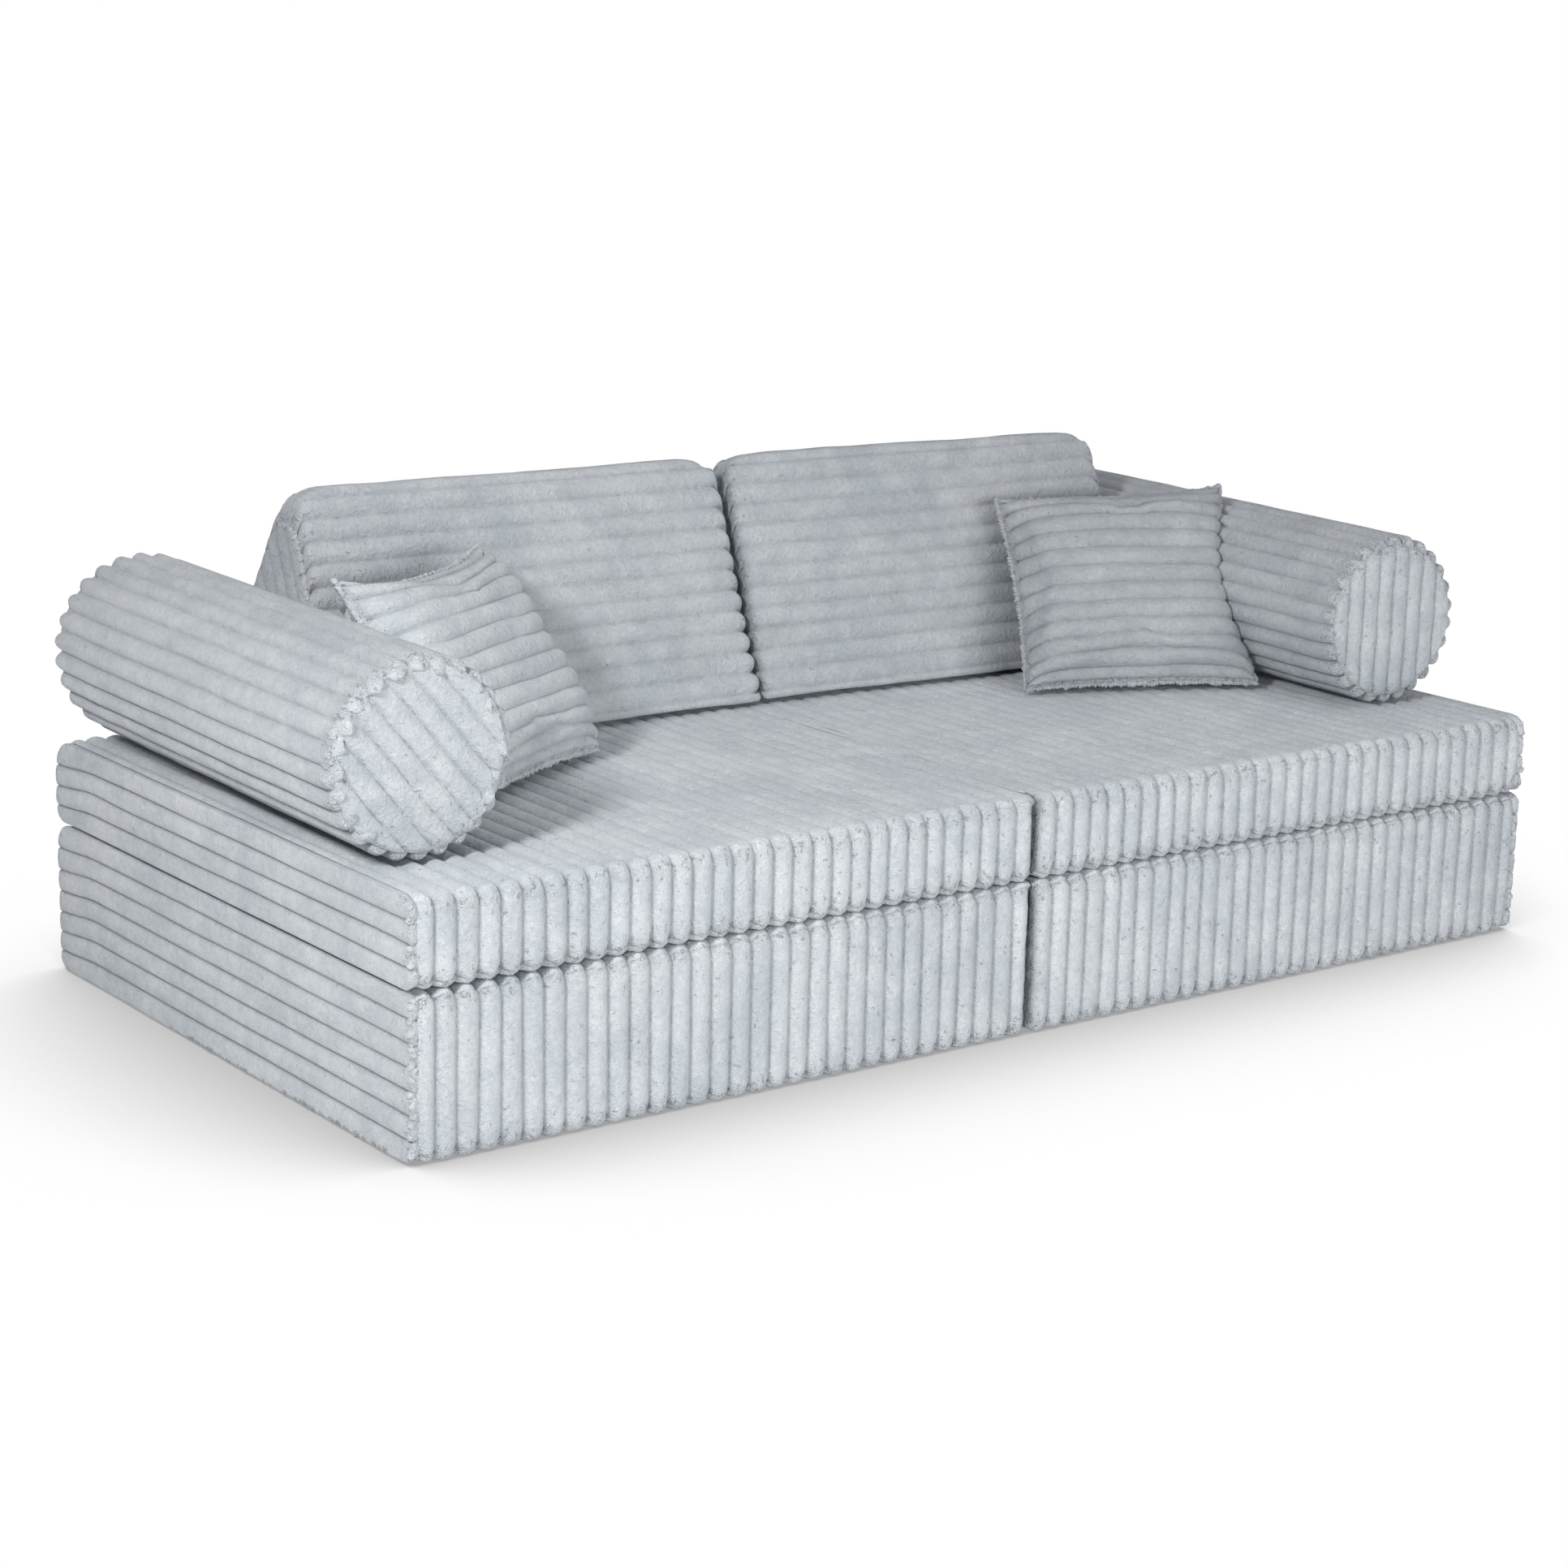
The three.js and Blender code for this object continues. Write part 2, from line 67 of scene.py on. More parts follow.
def make_camera():
    azimuth = math.radians(CAMERA_AZIMUTH)
    elevation = math.radians(CAMERA_ELEVATION)
    flat = math.cos(elevation)
    back = Vector((math.sin(azimuth) * flat, -math.cos(azimuth) * flat, math.sin(elevation)))
    right = Vector((math.cos(azimuth), math.sin(azimuth), 0))
    up = back.cross(right)
    roll = math.radians(CAMERA_ROLL)
    right_rolled = right * math.cos(roll) + up * math.sin(roll)
    up_rolled = up * math.cos(roll) - right * math.sin(roll)
    data = bpy.data.cameras.new("view")
    data.lens = CAMERA_LENS
    data.sensor_width = CAMERA_SENSOR
    data.sensor_fit = "HORIZONTAL"
    data.clip_end = CAMERA_FAR
    camera = bpy.data.objects.new("view", data)
    turn = Matrix((right_rolled, up_rolled, back)).transposed().to_4x4()
    camera.matrix_world = Matrix.Translation(CAMERA_PLACE) @ turn
    bpy.context.scene.collection.objects.link(camera)
    bpy.context.scene.camera = camera


make_camera()


# Finishes

class Signal:
    """One value in a finish. Sums with numbers and other signals add their own nodes."""

    def __init__(self, finish, socket):
        self.finish = finish
        self.socket = socket

    def sum(self, operation, first, second):
        return self.finish.maths(operation, first, second)

    def __add__(self, other):
        return self.sum("ADD", self, other)

    def __radd__(self, other):
        return self.sum("ADD", other, self)

    def __sub__(self, other):
        return self.sum("SUBTRACT", self, other)

    def __rsub__(self, other):
        return self.sum("SUBTRACT", other, self)

    def __mul__(self, other):
        return self.sum("MULTIPLY", self, other)

    def __rmul__(self, other):
        return self.sum("MULTIPLY", other, self)


class Node:
    """A node's outputs by name, as signals."""

    def __init__(self, finish, node):
        self.finish = finish
        self.made = node

    def __getitem__(self, output):
        return Signal(self.finish, self.made.outputs[output])


class Finish:
    """A material or the world, with one way to add a node."""

    def __init__(self, owner):
        self.owner = owner
        owner.use_nodes = True
        self.tree = owner.node_tree
        self.tree.nodes.clear()

    def node(self, kind, settings=None, sockets=None):
        made = self.tree.nodes.new(kind)
        for name, value in (settings or {}).items():
            setattr(made, name, value)
        for name, value in (sockets or {}).items():
            if isinstance(value, Signal):
                self.tree.links.new(value.socket, made.inputs[name])
            else:
                made.inputs[name].default_value = value
        return Node(self, made)

    def maths(self, operation, first, second):
        return self.node("ShaderNodeMath", {"operation": operation}, {0: first, 1: second})["Value"]

    def step(self, value, start, end, low=0.0, high=1.0):
        """Goes smoothly from low to high as value goes from start to end."""
        settings = {"interpolation_type": "SMOOTHSTEP"}
        sockets = {"Value": value, "From Min": start, "From Max": end, "To Min": low, "To Max": high}
        return self.node("ShaderNodeMapRange", settings, sockets)["Result"]

    def mix(self, share, first, second, blend="MIX"):
        settings = {"data_type": "RGBA", "blend_type": blend}
        return self.node("ShaderNodeMix", settings, {0: share, 6: first, 7: second})["Result"]

    def mark(self, name):
        """A number that was written on each point of the mesh."""
        return self.node("ShaderNodeAttribute", {"attribute_name": name})["Fac"]

    def noise(self, place, scale, detail=2.0, roughness=0.5, distortion=0.0):
        sockets = {
            "Vector": place,
            "Scale": scale,
            "Detail": detail,
            "Roughness": roughness,
            "Distortion": distortion,
        }
        return self.node("ShaderNodeTexNoise", {}, sockets)["Fac"]

    def cells(self, place, scale, feature):
        """How far each place is from the middle of its cell, or from the cell's edge."""
        sockets = {"Vector": place, "Scale": scale}
        return self.node("ShaderNodeTexVoronoi", {"feature": feature}, sockets)["Distance"]

    def in_view(self):
        """1 for what the camera sees, straight or in metal or glass, and 0 for light on its way."""
        rays = self.node("ShaderNodeLightPath")
        mirrored = self.maths("MAXIMUM", rays["Is Glossy Ray"], rays["Is Transmission Ray"])
        return self.maths("MAXIMUM", rays["Is Camera Ray"], mirrored)

    def surface(self, shader):
        owner = "World" if isinstance(self.owner, bpy.types.World) else "Material"
        self.node("ShaderNodeOutput" + owner, {}, {"Surface": shader})

    def covered(self, colour, roughness, relief, rest=None):
        """Ends a material: its colour, its roughness, and a relief of height, strength and depth."""
        height, strength, depth = relief
        raised = self.node("ShaderNodeBump", {}, {"Strength": strength, "Distance": depth, "Height": height})
        sockets = {"Base Color": colour, "Roughness": roughness, "Normal": raised["Normal"]}
        sockets.update(rest or {})
        self.surface(self.node("ShaderNodeBsdfPrincipled", {}, sockets)["BSDF"])
        return self.owner


def new_material(name):
    """A new material's finish, and the place on the object that its patterns follow."""
    finish = Finish(bpy.data.materials.new(name))
    return finish, finish.node("ShaderNodeTexCoord")["Object"]


def linear(red, green, blue):
    """A colour given as it looks on a screen, 0 to 255, in the units that a shader takes."""
    parts = []
    for value in (red / 255, green / 255, blue / 255):
        parts.append(value / 12.92 if value <= 0.04045 else ((value + 0.055) / 1.055) ** 2.4)
    return (*parts, 1.0)


PLUSH_LIGHT = linear(208, 212, 217)
PLUSH_DEEP = linear(189, 196, 203)
# The colour that grooves, joints and gaps are painted towards: painted shade.
PLUSH_GROOVE_SHADE = linear(118, 124, 130)
PLUSH_PIT = linear(112, 118, 124)

# How many of each pattern lie along a metre of plush
SWATHES = 8
PATCHES = 38
BENDS = 90
NICKS = 150
TUFTS = 165
CLUMPS = 290
GRAIN = 620


def plush_finish():
    """Short brushed pile: patches where the pile lies over, small tufts and dark nicks, with painted shade in
    its grooves and gaps and painted light and shade over whole pieces.
    """
    finish, place = new_material("plush")
    frayed = finish.mark("frayed")
    swathes = finish.noise(place, SWATHES, 3.0, 0.6, 0.8)
    patches = finish.noise(place, PATCHES, 2.0, 0.6)
    tufts = finish.noise(place, TUFTS, 3.0, 0.62, 0.5)
    grain = finish.noise(place, GRAIN, 2.0, 0.6)

    shade = finish.step(swathes * 0.65 + patches * 0.35, 0.34, 0.66)
    colour = finish.mix(shade, PLUSH_DEEP, PLUSH_LIGHT)
    speckle = finish.step(grain * 0.55 + tufts * 0.45, 0.3, 0.7, low=0.88, high=1.13)
    colour = finish.mix(1.0, colour, speckle, "MULTIPLY")
    # Painted light and shade: tops, joints, the gap between the back cushions and whole pieces are painted
    # lighter or darker; the rest of this mark is the pile's own random streaks.
    colour = finish.mix(1.0, colour, finish.mark("nap_and_light"), "MULTIPLY")
    # Painted shade: grooves, joints and the gaps between cushions are painted darker.
    colour = finish.mix(finish.mark("groove"), colour, PLUSH_GROOVE_SHADE)

    bent = finish.noise(place, BENDS, 1.0, 0.5)
    warped = finish.node("ShaderNodeVectorMath", {"operation": "ADD"}, {0: place, 1: bent * 0.006})
    clumps = finish.cells(warped["Vector"], CLUMPS, "DISTANCE_TO_EDGE")
    crack = finish.step(clumps, 0.1, 0.02)
    here = finish.noise(place, NICKS, 1.0, 0.5)
    pit = crack * finish.step(here + frayed * 0.16, 0.7, 0.82)
    colour = finish.mix(pit * 0.5, colour, PLUSH_PIT)

    curls = finish.step(clumps, 0.0, 0.3) * frayed
    height = tufts * 1.6 + grain * 0.5 + curls * 0.5 - pit * 0.8
    brushed = {"Specular IOR Level": 0.15, "Sheen Weight": 0.25, "Sheen Roughness": 0.5}
    return finish.covered(colour, 0.95, (height, 0.85, 2.4 * MM), brushed)


def foam_finish():
    """Open-cell foam with pores of a millimetre or two, darker inside each pore."""
    finish, place = new_material("foam")
    pores = finish.cells(place, 420, "F1")
    tone = finish.noise(place, 9, 3.0)
    colour = finish.mix(tone, linear(222, 209, 160), linear(238, 228, 188))
    colour = finish.mix(finish.step(pores, 0.5, 0.15) * 0.5, colour, linear(176, 158, 104))
    return finish.covered(colour, 0.9, (pores, 0.7, 1.0 * MM), {"Specular IOR Level": 0.2})


def fibre_finish():
    """White hollow-fibre wadding, with matted strands."""
    finish, place = new_material("fibre")
    strands = finish.noise(place, 260, 5.0, 0.7, 2.5)
    clumps = finish.noise(place, 40, 3.0, 0.6)
    colour = finish.mix(strands, linear(214, 214, 210), linear(246, 246, 243))
    colour = finish.mix(finish.step(clumps, 0.6, 0.3) * 0.3, colour, linear(196, 197, 196))
    matted = {"Specular IOR Level": 0.1, "Sheen Weight": 0.4}
    return finish.covered(colour, 1.0, (strands + clumps * 2, 0.8, 2.0 * MM), matted)


def zip_tape_finish():
    """Woven polyester tape and its moulded teeth."""
    finish, place = new_material("zip_tape")
    threads = finish.node(
        "ShaderNodeTexWave",
        {"wave_type": "BANDS", "bands_direction": "DIAGONAL"},
        {"Vector": place, "Scale": 260, "Distortion": 0.6},
    )["Fac"]
    tone = finish.noise(place, 60, 2.0)
    colour = finish.mix(tone, linear(170, 176, 183), linear(190, 196, 202))
    colour = finish.mix(threads * 0.25, colour, linear(140, 146, 152))
    return finish.covered(colour, 0.7, (threads, 0.5, 0.3 * MM))


def zinc_finish():
    """Die-cast zinc, brushed and rubbed at random."""
    finish, place = new_material("zinc")
    rubbed = finish.noise(place, 300, 4.0, 0.6, 1.0)
    cloud = finish.noise(place, 90, 2.0)
    colour = finish.mix(cloud, linear(150, 152, 156), linear(182, 184, 188))
    rough = finish.step(rubbed, 0.3, 0.7, low=0.28, high=0.45)
    return finish.covered(colour, rough, (rubbed, 0.2, 0.2 * MM), {"Metallic": 1.0})


FINISHES = {
    "plush": plush_finish(),
    "foam": foam_finish(),
    "fibre": fibre_finish(),
    "zip_tape": zip_tape_finish(),
    "zinc": zinc_finish(),
}


# Meshes from grids of points

def grid_faces(rows, columns, closed=False):
    """The quads of a grid of points, its columns closed into loops or not."""
    i = np.arange(rows - 1)[:, None]
    j = np.arange(columns if closed else columns - 1)[None, :]
    after = (j + 1) % columns
    quads = np.stack([
        i * columns + j,
        i * columns + after,
        (i + 1) * columns + after,
        (i + 1) * columns + j,
    ], -1)
    return quads.reshape(-1, 4)


def tube_faces(rows, columns):
    """The quads of stacked rings, and the two faces that close the first and last ring."""
    ring = np.arange(columns)[None, :]
    return [grid_faces(rows, columns, True), ring[:, ::-1], ring + (rows - 1) * columns]


def carried(points, place):
    """Points taken from a module's own axes to where it stands."""
    matrix = np.array(place, float)
    return points @ matrix[:3, :3].T + matrix[:3, 3]


class Sheet:
    """Points, faces and marks of one closed mesh, or of several side by side."""

    def __init__(self, points, faces, groove=0.0, frayed=0.0, nap_and_light=1.0):
        self.points = np.asarray(points, float).reshape(-1, 3)
        self.faces = faces
        self.marks = {}
        for mark, values in (("groove", groove), ("frayed", frayed), ("nap_and_light", nap_and_light)):
            values = np.asarray(values, float).reshape(-1)
            self.marks[mark] = np.broadcast_to(values, (len(self.points),)).copy()

    def placed(self, place):
        faces = self.faces
        if np.linalg.det(np.array(place, float)[:3, :3]) < 0:
            faces = [each[:, ::-1] for each in faces]
        return Sheet(carried(self.points, place), faces, **self.marks)


def joined(sheets):
    start = 0
    faces = []
    for sheet in sheets:
        faces += [each + start for each in sheet.faces]
        start += len(sheet.points)
    marks = {mark: np.concatenate([sheet.marks[mark] for sheet in sheets]) for mark in sheets[0].marks}
    return Sheet(np.concatenate([sheet.points for sheet in sheets]), faces, **marks)


def make_piece(name, sheet, body, finish, nap_and_light=1.0):
    """One object of a sheet, riding on a body. Its last number scales how light the whole piece is painted,
    as painted light and shade.
    """
    mesh = bpy.data.meshes.new(name)
    corners = np.concatenate([each.ravel() for each in sheet.faces]).astype(np.int32)
    sizes = np.concatenate([np.full(len(each), each.shape[1]) for each in sheet.faces])
    starts = np.concatenate([[0], np.cumsum(sizes)[:-1]]).astype(np.int32)
    mesh.vertices.add(len(sheet.points))
    mesh.vertices.foreach_set("co", sheet.points.astype(np.float32).ravel())
    mesh.loops.add(len(corners))
    mesh.loops.foreach_set("vertex_index", corners)
    mesh.polygons.add(len(starts))
    mesh.polygons.foreach_set("loop_start", starts)
    mesh.polygons.foreach_set("use_smooth", np.ones(len(starts), bool))
    mesh.update(calc_edges=True)
    for mark, values in {**sheet.marks, "nap_and_light": sheet.marks["nap_and_light"] * nap_and_light}.items():
        attribute = mesh.attributes.new(mark, "FLOAT", "POINT")
        attribute.data.foreach_set("value", values.astype(np.float32))
    mesh.materials.append(FINISHES[finish])
    piece = bpy.data.objects.new(name, mesh)
    bpy.context.scene.collection.objects.link(piece)
    if body is not None:
        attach(piece, body)
    return piece


def make_stand_in(name, sheet, body, finish, node, nap_and_light=1.0):
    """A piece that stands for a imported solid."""
    piece = make_piece(name, sheet, body, finish, nap_and_light)
    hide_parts(node)
    return piece


def make_cover(name, sheets, place, nap_and_light=1.0):
    """The sheets of one module's cover, stood in their place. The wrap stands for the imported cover."""
    for label, sheet in sheets.items():
        if label == "wrap":
            make_stand_in(f"{name}_wrap", sheet.placed(place), name, "plush", name + "_cover", nap_and_light)
        else:
            make_piece(f"{name}_{label}", sheet.placed(place), name, "plush", nap_and_light)


def eased(value):
    value = np.clip(value, 0, 1)
    return value * value * (3 - 2 * value)


def fading(distance, run):
    """1 at no distance, dying away over the run as a bell does."""
    return np.exp(-((distance / run) ** 2))


def quarter_round(share):
    """From 0 at an edge to 1 where its rounding ends, along a quarter of a circle."""
    return np.sqrt(np.clip(1 - (1 - share) ** 2, 0, 1))


def spread(values, count):
    """Rows of values drawn out smoothly to count rows."""
    at = np.linspace(0, len(values) - 1, count)
    low = np.minimum(at.astype(int), len(values) - 2)
    part = eased(at - low)
    part = part.reshape(-1, *([1] * (values.ndim - 1)))
    return values[low] * (1 - part) + values[low + 1] * part


def drift(rows, columns, cells, seed, closed=False):
    """A smooth random field from -1 to 1 over a grid, with about cells lumps each way."""
    values = np.random.default_rng(seed).uniform(-1, 1, (cells[0] + 1, cells[1] + 1))
    if closed:
        values[:, -1] = values[:, 0]
    return spread(spread(values, rows).T, columns).T


# Quilted ribs

RIB_PITCH = 27 * MM
RIB_SHARES = np.array([0, 0.06, 0.11, 0.15, 0.24, 0.41, 0.59, 0.76, 0.85, 0.89, 0.94])
RIB_FLANK = 2.3
GROOVE_FADE = 2.2
NAP_STREAK = 0.045
NAP_STREAK_NARROW = 0.7


def nap_streaks(rows, columns, ribs, cells_along, seed, ribs_down=True):
    """Lighter and darker strokes of pile that lie along the ribs."""
    if ribs_down:
        wide = drift(rows, columns, (ribs * 2, cells_along), seed)
        narrow = drift(rows, columns, (ribs * 3, cells_along * 3), seed + 1)
    else:
        wide = drift(rows, columns, (cells_along, ribs * 2), seed, True)
        narrow = drift(rows, columns, (cells_along * 3, ribs * 3), seed + 1, True)
    return NAP_STREAK * wide + NAP_STREAK * NAP_STREAK_NARROW * narrow


def rib_stops(ribs):
    """Where the points lie across a row of ribs, from 0 to ribs."""
    stops = (np.arange(ribs)[:, None] + RIB_SHARES[None, :]).ravel()
    return np.append(stops, ribs)


def rib_rise(stops, fullness, valley=0.0):
    """How high a rib stands, from 0 at its foot to 1 on its crest: a soft wave at 0, a full rib at 1.

    The valley is the share of the pitch that lies flat on each side of the rib.
    """
    share = np.clip((stops - np.floor(stops) - valley) / (1 - 2 * valley), 0, 1)
    wave = np.sin(np.pi * share)
    full = np.sqrt(1 - np.abs(2 * share - 1) ** RIB_FLANK)
    return wave + (full - wave) * fullness


def in_groove(rise):
    """1 at the bottom between two ribs, fading up their sides: where the painted shade in the grooves lies.
    """
    return (1 - rise) ** GROOVE_FADE


NEAR_CORNER = np.array([0, 2, 4.5, 8, 13]) * MM
CORNER_ROOM = 1 * MM


def straight_places(length, step):
    """Places along a straight side, closer together near its ends."""
    if length < NEAR_CORNER[1]:
        return np.array([0, length])
    near = NEAR_CORNER[NEAR_CORNER < length / 2 - CORNER_ROOM]
    middle = np.linspace(near[-1], length - near[-1], max(int(round((length - 2 * near[-1]) / step)), 1) + 1)
    return np.concatenate([near[:-1], middle, length - near[:-1][::-1]])


def rounded_loop(corners, radii, step, arc_steps):
    """A closed outline with rounded corners: points, outward normals, and each point's place along it."""
    corners = np.asarray(corners, float)
    points = []
    normals = []
    count = len(corners)
    arcs = []
    for i in range(count):
        before = corners[i - 1] - corners[i]
        after = corners[(i + 1) % count] - corners[i]
        before /= np.linalg.norm(before)
        after /= np.linalg.norm(after)
        half = math.acos(np.clip(before @ after, -1, 1)) / 2
        reach = radii[i] / math.tan(half)
        middle = corners[i] + (before + after) / np.linalg.norm(before + after) * radii[i] / math.sin(half)
        start = corners[i] + before * reach - middle
        first = math.atan2(start[1], start[0])
        arcs.append((middle, first, math.pi - 2 * half, radii[i]))
    for i in range(count):
        middle, first, sweep, radius = arcs[i]
        for k in range(arc_steps + 1):
            angle = first + sweep * k / arc_steps
            normal = np.array([math.cos(angle), math.sin(angle)])
            points.append(middle + normal * radius)
            normals.append(normal)
        next_middle, next_first, _, next_radius = arcs[(i + 1) % count]
        goal = next_middle + next_radius * np.array([math.cos(next_first), math.sin(next_first)])
        last = points[-1]
        length = np.linalg.norm(goal - last)
        for place in straight_places(length, step)[1:-1]:
            points.append(last + (goal - last) * place / length)
            normals.append(normals[-1])
    points = np.array(points)
    return points, np.array(normals), places_along(points)


def places_along(points):
    """Each point's place along a closed line, and the line's length at the end."""
    lengths = np.linalg.norm(np.diff(points, axis=0, append=points[:1]), axis=1)
    return np.concatenate([[0], np.cumsum(lengths)])


def read_at(at, along, values):
    """Values of a closed line's points, read at other places along it."""
    closed = np.vstack([values, values[:1]])
    return np.stack([np.interp(at, along, column) for column in closed.T], -1)


def resampled(loop, at):
    """The same loop at other places along it."""
    points, normals, along = loop
    at = np.mod(at, along[-1])
    new_normals = read_at(at, along, normals)
    return read_at(at, along, points), new_normals / np.linalg.norm(new_normals, axis=1)[:, None]


def distance_round(at, place):
    """How far a loop's points are from a place on it, the short way round. The last of at is its length."""
    total = at[-1]
    return np.abs((at[:-1] - place + total / 2) % total - total / 2)


def tube(x, y, z, groove, frayed, nap_and_light=1.0):
    """A closed tube of rings that stack along X and run right-handed about it."""
    points = np.stack([np.broadcast_to(x, y.shape), y, z], -1)
    return Sheet(points, tube_faces(*y.shape), groove, frayed, nap_and_light)


# End panels: a flat piece of ribbed plush sewn into the end of a cover

PANEL_TRIM = 0.3 * MM
PANEL_END_ROUND = 11 * MM
PANEL_BACK = 9 * MM
PANEL_BACK_DRAWN_IN = 0.01
PANEL_END_STEPS = np.array([0, 0.07, 0.22, 0.48, 1.0])
PANEL_NIP = 3.5 * MM
PANEL_MOST_NIP_SHARE = 0.3
PANEL_MOST_ROUND_SHARE = 0.8
PANEL_LUMP = 0.9 * MM
PANEL_LUMPS_ALONG = 9
PANEL_WOBBLE = 1.2 * MM
PANEL_WOBBLES_ALONG = 7
PANEL_STREAKS_ALONG = 8
PANEL_FRAY = 0.1
PANEL_EDGE_FRAY = 0.9
PANEL_EDGE_FRAY_REACH = 12 * MM
DROOP_RUN = 110 * MM


def panel_spans(outline, along, stops):
    """Where each line of the panel's grid starts and ends, along the ribs."""
    across = np.array([-along[1], along[0]])
    p = outline @ across
    q = outline @ along
    next_p = np.roll(p, -1)
    next_q = np.roll(q, -1)
    low = p.min() + PANEL_TRIM
    high = p.max() - PANEL_TRIM
    places = low + (high - low) * stops
    spans = []
    for place in places:
        crossing = ((p - place) * (next_p - place) <= 0) & (np.abs(next_p - p) > 1e-9)
        share = (place - p[crossing]) / (next_p[crossing] - p[crossing])
        found = q[crossing] + share * (next_q[crossing] - q[crossing])
        spans.append((found.min(), found.max()))
    return across, places, np.array(spans)


def ribbed_panel(outline, along, ribs, bulge, columns, seed, line, fullness, rolled, droop=0.0):
    """A panel in its own plane, its crests at height 0, ribs running along, closed behind.

    Rolled keeps the outermost edges up towards the crest, and droop lets the ribs hang at their far end.
    """
    along = np.asarray(along, float)
    stops = rib_stops(ribs)
    across, places, spans = panel_spans(outline, along, stops / ribs)
    half = (spans[:, 1] - spans[:, 0]) / 2
    middle = (spans[:, 1] + spans[:, 0]) / 2
    rise = rib_rise(stops, fullness)[:, None]
    half = half - np.minimum(PANEL_NIP, half * PANEL_MOST_NIP_SHARE) * (1 - rise[:, 0])
    rounding = np.minimum(PANEL_END_ROUND, half * PANEL_MOST_ROUND_SHARE)
    inner = np.linspace(0, 1, columns)[1:-1]
    left = PANEL_END_STEPS[None, :] * rounding[:, None] - half[:, None]
    run = (half - rounding)[:, None]
    q = np.concatenate([left, run * (2 * inner[None, :] - 1), -left[:, ::-1]], 1) + middle[:, None]
    rows, count = q.shape
    edge = np.minimum(q - spans[:, :1], spans[:, 1:] - q)
    taper = quarter_round(np.clip(edge / PANEL_END_ROUND, 0, 1))
    outermost = (np.minimum(stops, ribs - stops) < 0.5)[:, None]
    rise = np.where(outermost, rise + (1 - rise) * rolled, rise)
    lumps = (drift(rows, count, (ribs, PANEL_LUMPS_ALONG), seed) + 1) * PANEL_LUMP
    height = -bulge * (1 - rise * taper) - lumps * rise * taper
    wobble = drift(rows, count, (ribs, PANEL_WOBBLES_ALONG), seed + 1) * PANEL_WOBBLE * taper
    wobble = wobble - droop * eased((q - q.max() + DROOP_RUN) / DROOP_RUN)
    wobble = wobble * np.abs(np.sin(np.pi * stops / ribs))[:, None] ** 0.5
    flat = q[..., None] * along + (places[:, None] + wobble)[..., None] * across
    points = np.concatenate([flat, height[..., None]], -1).reshape(-1, 3)

    index = np.arange(rows * count).reshape(rows, count)
    rim = np.concatenate([index[0, :-1], index[:-1, -1], index[-1, :0:-1], index[:0:-1, 0]])
    behind = points[rim] - np.array([0, 0, PANEL_BACK])
    behind[:, :2] += (flat.mean((0, 1)) - behind[:, :2]) * PANEL_BACK_DRAWN_IN
    back = rows * count + np.arange(len(rim))
    walls = np.stack([rim, back, np.roll(back, -1), np.roll(rim, -1)], -1)
    # Grooves painted darker by line, as painted shade.
    groove = np.broadcast_to(in_groove(rise) * line, q.shape).ravel()
    fray = (PANEL_EDGE_FRAY * fading(edge, PANEL_EDGE_FRAY_REACH) + PANEL_FRAY).ravel()
    streaks = (1 + nap_streaks(rows, count, ribs, PANEL_STREAKS_ALONG, seed + 2)).ravel()
    plain = np.zeros(len(rim))
    return Sheet(
        np.concatenate([points, behind]),
        [grid_faces(rows, count), walls, back[::-1][None, :]],
        np.concatenate([groove, plain]),
        np.concatenate([fray, plain]),
        np.concatenate([streaks, plain + 1]),
    )


def on_end(panel, x, side):
    """Stands a panel up at the end of a module: its plane becomes YZ and its height faces side."""
    return panel.placed(Matrix(((0, 0, side, x), (1, 0, 0, 0), (0, 1, 0, 0), (0, 0, 0, 1))))


# Knots of pile along the seams

KNOT_SIZES = (0.8, 1.2)
KNOT_SQUASH = (0.7, 1.15)
KNOT_LUMP = 0.12
KNOT_FRAY = 0.6
KNOT_NAP = 1.04
KNOT_SHIFT = 0.3
KNOT_ZIGZAG = 0.3
KNOT_SINK = 0.2
KNOT_OUT_OF_END = 0.5
KNOT_OUT_OF_SIDE = 0.8
LOWEST_KNOT = 2


def knot_shape():
    """A small ball with 42 points, to be squashed and bent into a tuft."""
    made = bmesh.new()
    bmesh.ops.create_icosphere(made, subdivisions=2, radius=1.0)
    points = np.array([v.co.normalized() for v in made.verts])
    made.verts.index_update()
    faces = np.array([[v.index for v in f.verts] for f in made.faces])
    made.free()
    return points, faces


KNOT_POINTS, KNOT_FACES = knot_shape()


def repeated_faces(faces, copies, points_each):
    """The faces of a shape, for copies of it whose points follow one another."""
    starts = (np.arange(copies) * points_each)[:, None, None]
    return (faces[None] + starts).reshape(-1, faces.shape[1])


def knots(places, outwards, size, seed, stretch=0.0):
    """Tufts of pile at the places, turned and lumped by chance, and stretched along their outwards."""
    chance = np.random.default_rng(seed)
    count = len(places)
    turn = np.linalg.qr(chance.normal(size=(count, 3, 3)))[0]
    turn = turn * np.linalg.det(turn)[:, None, None]
    sizes = size * chance.uniform(*KNOT_SIZES, (count, 1, 1)) * chance.uniform(*KNOT_SQUASH, (count, 1, 3))
    lumps = 1 + KNOT_LUMP * chance.normal(size=(count, len(KNOT_POINTS), 1))
    points = np.einsum("nij,nkj->nki", turn, KNOT_POINTS[None] * lumps * sizes)
    outwards = np.asarray(outwards, float)
    reach = np.einsum("nki,ni->nk", points, outwards)
    points = points + np.maximum(reach, 0)[..., None] * outwards[:, None, :] * stretch
    points = points + np.asarray(places)[:, None, :]
    return Sheet(points, [repeated_faces(KNOT_FACES, count, len(KNOT_POINTS))], 0.0, KNOT_FRAY, KNOT_NAP)


